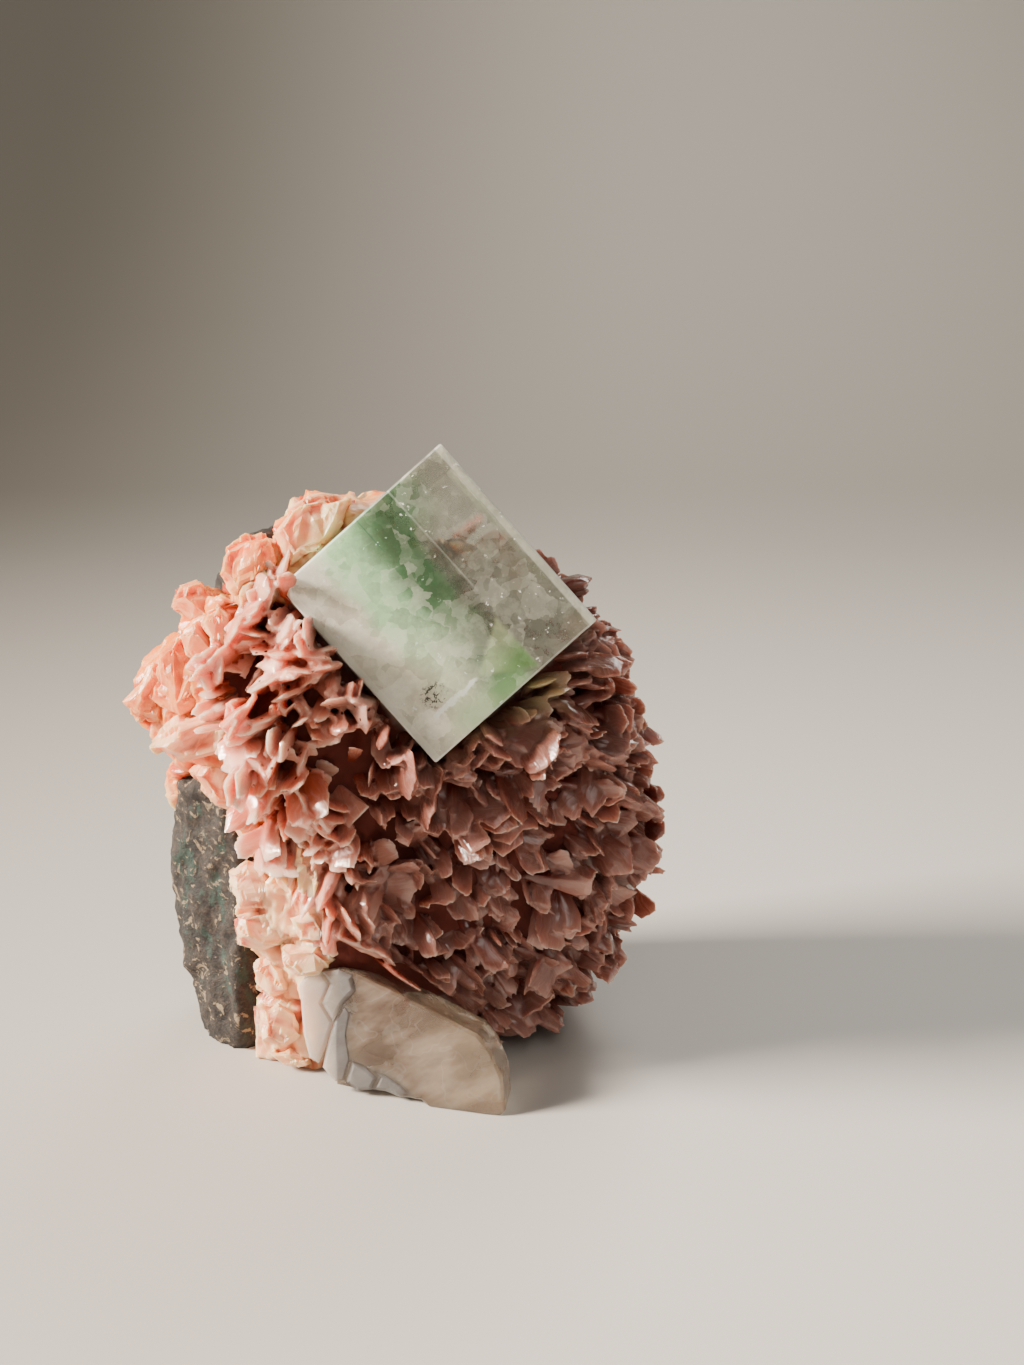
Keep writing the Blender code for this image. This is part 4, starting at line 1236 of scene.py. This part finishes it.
def bladeSkin(shape):
    # The blades grown together into one skin, with what the finish reads taken over from the nearest blade
    tree = BVHTree.FromBMesh(shape)
    shape.faces.ensure_lookup_table()
    old = [shape.verts.layers.float[name] for name in ("tone", "rise")]
    oldEdge = shape.faces.layers.float["edge"]
    oldLines = shape.loops.layers.uv["growth"]
    skin = skinOf(shape, blades["voxel"], blades["keep"])
    new = [skin.verts.layers.float.new(name) for name in ("tone", "rise", "edge")]
    newLines = skin.loops.layers.uv.new("growth")
    for vert in skin.verts:
        vert.co.z = max(vert.co.z, crust["floorGap"])
        near, _, index, _ = tree.find_nearest(vert.co)
        face = shape.faces[index]
        weights = [1 / ((loop.vert.co - near).length_squared + 1e-10) for loop in face.loops]
        total = sum(weights)
        for layer, source in zip(new, old):
            vert[layer] = sum(w * loop.vert[source] for w, loop in zip(weights, face.loops)) / total
        vert[new[2]] = face[oldEdge]
        across, along = (
            sum(w * loop[oldLines].uv[axis] for w, loop in zip(weights, face.loops)) / total
            for axis in (0, 1))
        for loop in vert.link_loops:
            loop[newLines].uv = (across, along)
    for face in skin.faces:
        face.smooth = True
    for edge in skin.edges:
        edge.smooth = edge.calc_face_angle(0) < blades["crease"]
    shape.free()
    return skin


placeCamera()
nodeTrees = {}
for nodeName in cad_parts:
    merged = nodeShape(nodeName)
    nodeTrees[nodeName] = BVHTree.FromBMesh(merged)
    merged.free()

crustMesh = crustShape(nodeTrees["basalt_matrix"])
crustTree = BVHTree.FromBMesh(crustMesh)
draw = random.Random(blades["seed"])
chunkMesh = bmesh.new()
addChunks(chunkMesh, crustTree, draw)
pieceFrom("drusePeachBlocks", chunkMesh, crustFinish(), "stilbite_druse")
bladeMesh = bmesh.new()
guestTrees = (nodeTrees["apophyllite_crystal"], nodeTrees["stilbite_blade"])
taken, large = growLarge(bladeMesh, crustTree, guestTrees, draw)
growSmall(bladeMesh, crustMesh, crustTree, nodeTrees["basalt_matrix"], taken, large, guestTrees, draw)
pieceFrom("druseBlades", bladeSkin(bladeMesh), bladeFinish(), "stilbite_druse", None)
pieceFrom("drusePeachCrust", crustMesh, crustFinish(), "stilbite_druse", True)


basalt = {"voxel": 0.42 * mm, "depth": 0.55 * mm, "chips": 2.6 * mm, "pits": 1.1 * mm, "grain": 1.2 * mm}


def basaltPiece():
    shape = skinOf(nodeShape("basalt_matrix"), basalt["voxel"])
    shape.normal_update()
    moves = []
    for vert in shape.verts:
        chips = noise.voronoi(vert.co / basalt["chips"])[0]
        pits = noise.voronoi(vert.co / basalt["pits"])[0][0]
        rough = noise.fractal(vert.co / basalt["grain"], 0.9, 2.1, 4)
        height = (chips[1] - chips[0] - 0.2) * 0.8 + (pits - 0.5) * 0.35 + rough * 0.35
        moves.append(vert.normal * basalt["depth"] * height)
    for vert, move in zip(shape.verts, moves):
        if vert.co.z > 0.2 * mm:
            vert.co += move
            vert.co.z = max(vert.co.z, 0.05 * mm)
    return pieceFrom("basaltMatrix", shape, basaltFinish(), "basalt_matrix", True)


basaltPiece()


def crystalPiece():
    shape = bmesh.new()
    bmesh.ops.create_cube(shape, size=2.0)
    bmesh.ops.scale(shape, verts=shape.verts, vec=crystalHalf)
    axes = crystalAxes.to_4x4()
    axes.translation = crystalCentre
    bmesh.ops.transform(shape, matrix=axes, verts=shape.verts)
    leftCorner = crystalFace - crystalRising * crystalHalf.x - crystalFalling * crystalHalf.y
    toward = (crystalOutward * 0.5 - crystalRising * 0.75 - crystalFalling * 0.45).normalized()
    cutFlat(shape, leftCorner - toward * crystal["chip"], toward)
    # The bevel faces are marked for the painted highlight along the crystal's edges
    edges = shape.faces.layers.float.new("edge")
    made = bmesh.ops.bevel(
        shape, geom=shape.edges[:], offset=crystal["bevel"], offset_type="OFFSET", segments=2, profile=0.5,
        affect="EDGES", clamp_overlap=True, material=-1)
    for face in made["faces"]:
        face[edges] = 1.0
    return pieceFrom("apophylliteCrystal", shape, clearFinish(), "apophyllite_crystal")


crystalPiece()


paleBlade = {
    "foot": Vector((7.5, -14.5, 0.0)) * mm,
    "run": Vector((-16.3, 3.9, 0.0)).normalized(),
    "lean": math.radians(10.0),
    "thickness": 4.3 * mm,
    "bevel": 0.16 * mm,
    "rim": 0.75 * mm,     # a sloping strip round the front
    "rimDepth": 0.22 * mm,
    "back": 0.94,
    "floorGap": 0.05 * mm,
    "bodies": [
        # the outline as pixels, how far it stands out in millimetres, and how milky it is
        (((338, 969), (359, 976), (420, 1006), (477, 1035), (491, 1052), (502, 1079), (505, 1111),
          (499, 1117), (450, 1118), (432, 1112), (421, 1101), (404, 1098), (385, 1091), (358, 1090),
          (336, 1085), (334, 1040), (337, 1000)), 0.0, 0.0),
        (((299, 985), (306, 975), (322, 972), (330, 984), (322, 1003), (333, 1022), (326, 1046), (318, 1064),
          (309, 1058), (303, 1034)), 0.10, 0.75),
        (((322, 972), (338, 970), (352, 975), (356, 990), (344, 1003), (333, 1022), (322, 1003), (330, 984)),
         0.22, 0.55),
        (((333, 1022), (344, 1003), (352, 1012), (348, 1036), (352, 1060), (345, 1082), (334, 1082),
          (322, 1068), (326, 1046)), 0.05, 0.7),
        (((345, 1082), (352, 1060), (366, 1066), (378, 1078), (372, 1090), (357, 1091)), 0.15, 0.5),
        (((378, 1078), (366, 1066), (384, 1072), (402, 1084), (414, 1096), (400, 1098), (386, 1092),
          (372, 1090)), 0.08, 0.4),
    ],
}


def paleBladePiece():
    # The clear blade, the milky fibres of its base, and the chips along its lower edge
    level = up.cross(paleBlade["run"]).normalized()
    outward = level * math.cos(paleBlade["lean"]) + up * math.sin(paleBlade["lean"])
    shape = bmesh.new()
    milks = shape.verts.layers.float.new("milky")
    for pixels, proud, milky in paleBlade["bodies"]:
        rim = [shape.verts.new(onPlane(pixel, paleBlade["foot"], outward)) for pixel in pixels]
        middle = sum((vert.co for vert in rim), Vector()) / len(rim)
        front = proud * mm - paleBlade["rimDepth"]
        bmesh.ops.translate(shape, verts=rim, vec=outward * front)
        face = shape.faces.new(rim)
        made = bmesh.ops.extrude_face_region(shape, geom=[face])["geom"]
        far = [item for item in made if isinstance(item, bmesh.types.BMVert)]
        bmesh.ops.translate(shape, verts=far, vec=-outward * (front + paleBlade["thickness"]))
        bmesh.ops.scale(shape, verts=far, vec=(paleBlade["back"],) * 3, space=Matrix.Translation(-middle))
        shape.normal_update()
        if face.normal.dot(outward) < 0:
            bmesh.ops.reverse_faces(shape, faces=[face])
        size = min(paleBlade["rim"], min(edge.calc_length() for edge in face.edges) * 0.3)
        bmesh.ops.inset_region(
            shape, faces=[face], thickness=size, depth=paleBlade["rimDepth"], use_even_offset=True)
        shape.verts.ensure_lookup_table()
        for vert in shape.verts[-len(rim) * 3:]:
            vert[milks] = milky
    bmesh.ops.recalc_face_normals(shape, faces=shape.faces)
    bmesh.ops.bevel(
        shape, geom=shape.edges[:], offset=paleBlade["bevel"], offset_type="OFFSET", segments=2, profile=0.5,
        affect="EDGES", clamp_overlap=True, material=-1)
    if min(vert.co.z for vert in shape.verts) < paleBlade["floorGap"]:
        cutFlat(shape, up * paleBlade["floorGap"], -up)
    return pieceFrom("paleBlade", shape, paleFinish(), "stilbite_blade")


paleBladePiece()


# In metres: half the floor's width, where it turns up at the back, how high it goes, and the turn's radius
room = {"half": 0.9, "back": 0.45, "height": 0.9, "curve": 0.25}


def floorPiece():
    shape = bmesh.new()
    bmesh.ops.create_grid(shape, x_segments=2, y_segments=48, size=1.0)
    for vert in shape.verts:
        run = (vert.co.y + 1) * 0.5 * (room["half"] + room["back"] + room["height"]) - room["half"]
        past = max(0.0, run - (room["back"] - room["curve"]))
        turn = min(past / room["curve"], math.pi / 2)
        rest = max(0.0, past - room["curve"] * math.pi / 2)
        y = min(run, room["back"] - room["curve"]) + room["curve"] * math.sin(turn)
        vert.co = Vector((vert.co.x * room["half"], y, room["curve"] * (1 - math.cos(turn)) + rest))
    bmesh.ops.recalc_face_normals(shape, faces=shape.faces)
    mesh = bpy.data.meshes.new("floor")
    shape.to_mesh(mesh)
    shape.free()
    mesh.polygons.foreach_set("use_smooth", [True] * len(mesh.polygons))
    mesh.materials.append(floorFinish())
    floor = linked(bpy.data.objects.new("floor", mesh))


lights = [
    # name, place, target, size, watts, colour
    ("keyLight", (-0.35, -0.05, 0.21), (0, 0, 0.028), 0.10, 8.0, (1.0, 0.87, 0.74)),
    ("frontFill", (0.08, -0.42, 0.44), (0, 0, 0.025), 0.30, 0.68, (1.0, 0.95, 0.88)),
    ("backLight", (0.14, 0.30, 0.36), (0, 0, 0.03), 0.24, 1.5, (1.0, 0.95, 0.88)),
]
roomLight = {"colour": (0.84, 0.80, 0.74), "strength": 0.12}


def addLights():
    for name, place, target, size, watts, colour in lights:
        lamp = bpy.data.lights.new(name, "AREA")
        lamp.size = size
        lamp.energy = watts
        lamp.color = colour
        item = linked(bpy.data.objects.new(name, lamp))
        item.location = place
        item.rotation_euler = (Vector(target) - Vector(place)).to_track_quat("-Z", "Y").to_euler()
    world = bpy.data.worlds.new("studio")
    world.use_nodes = True
    background = world.node_tree.nodes["Background"].inputs
    background["Color"].default_value = (*roomLight["colour"], 1.0)
    background["Strength"].default_value = roomLight["strength"]
    bpy.context.scene.world = world


floorPiece()
addLights()
print("room done")
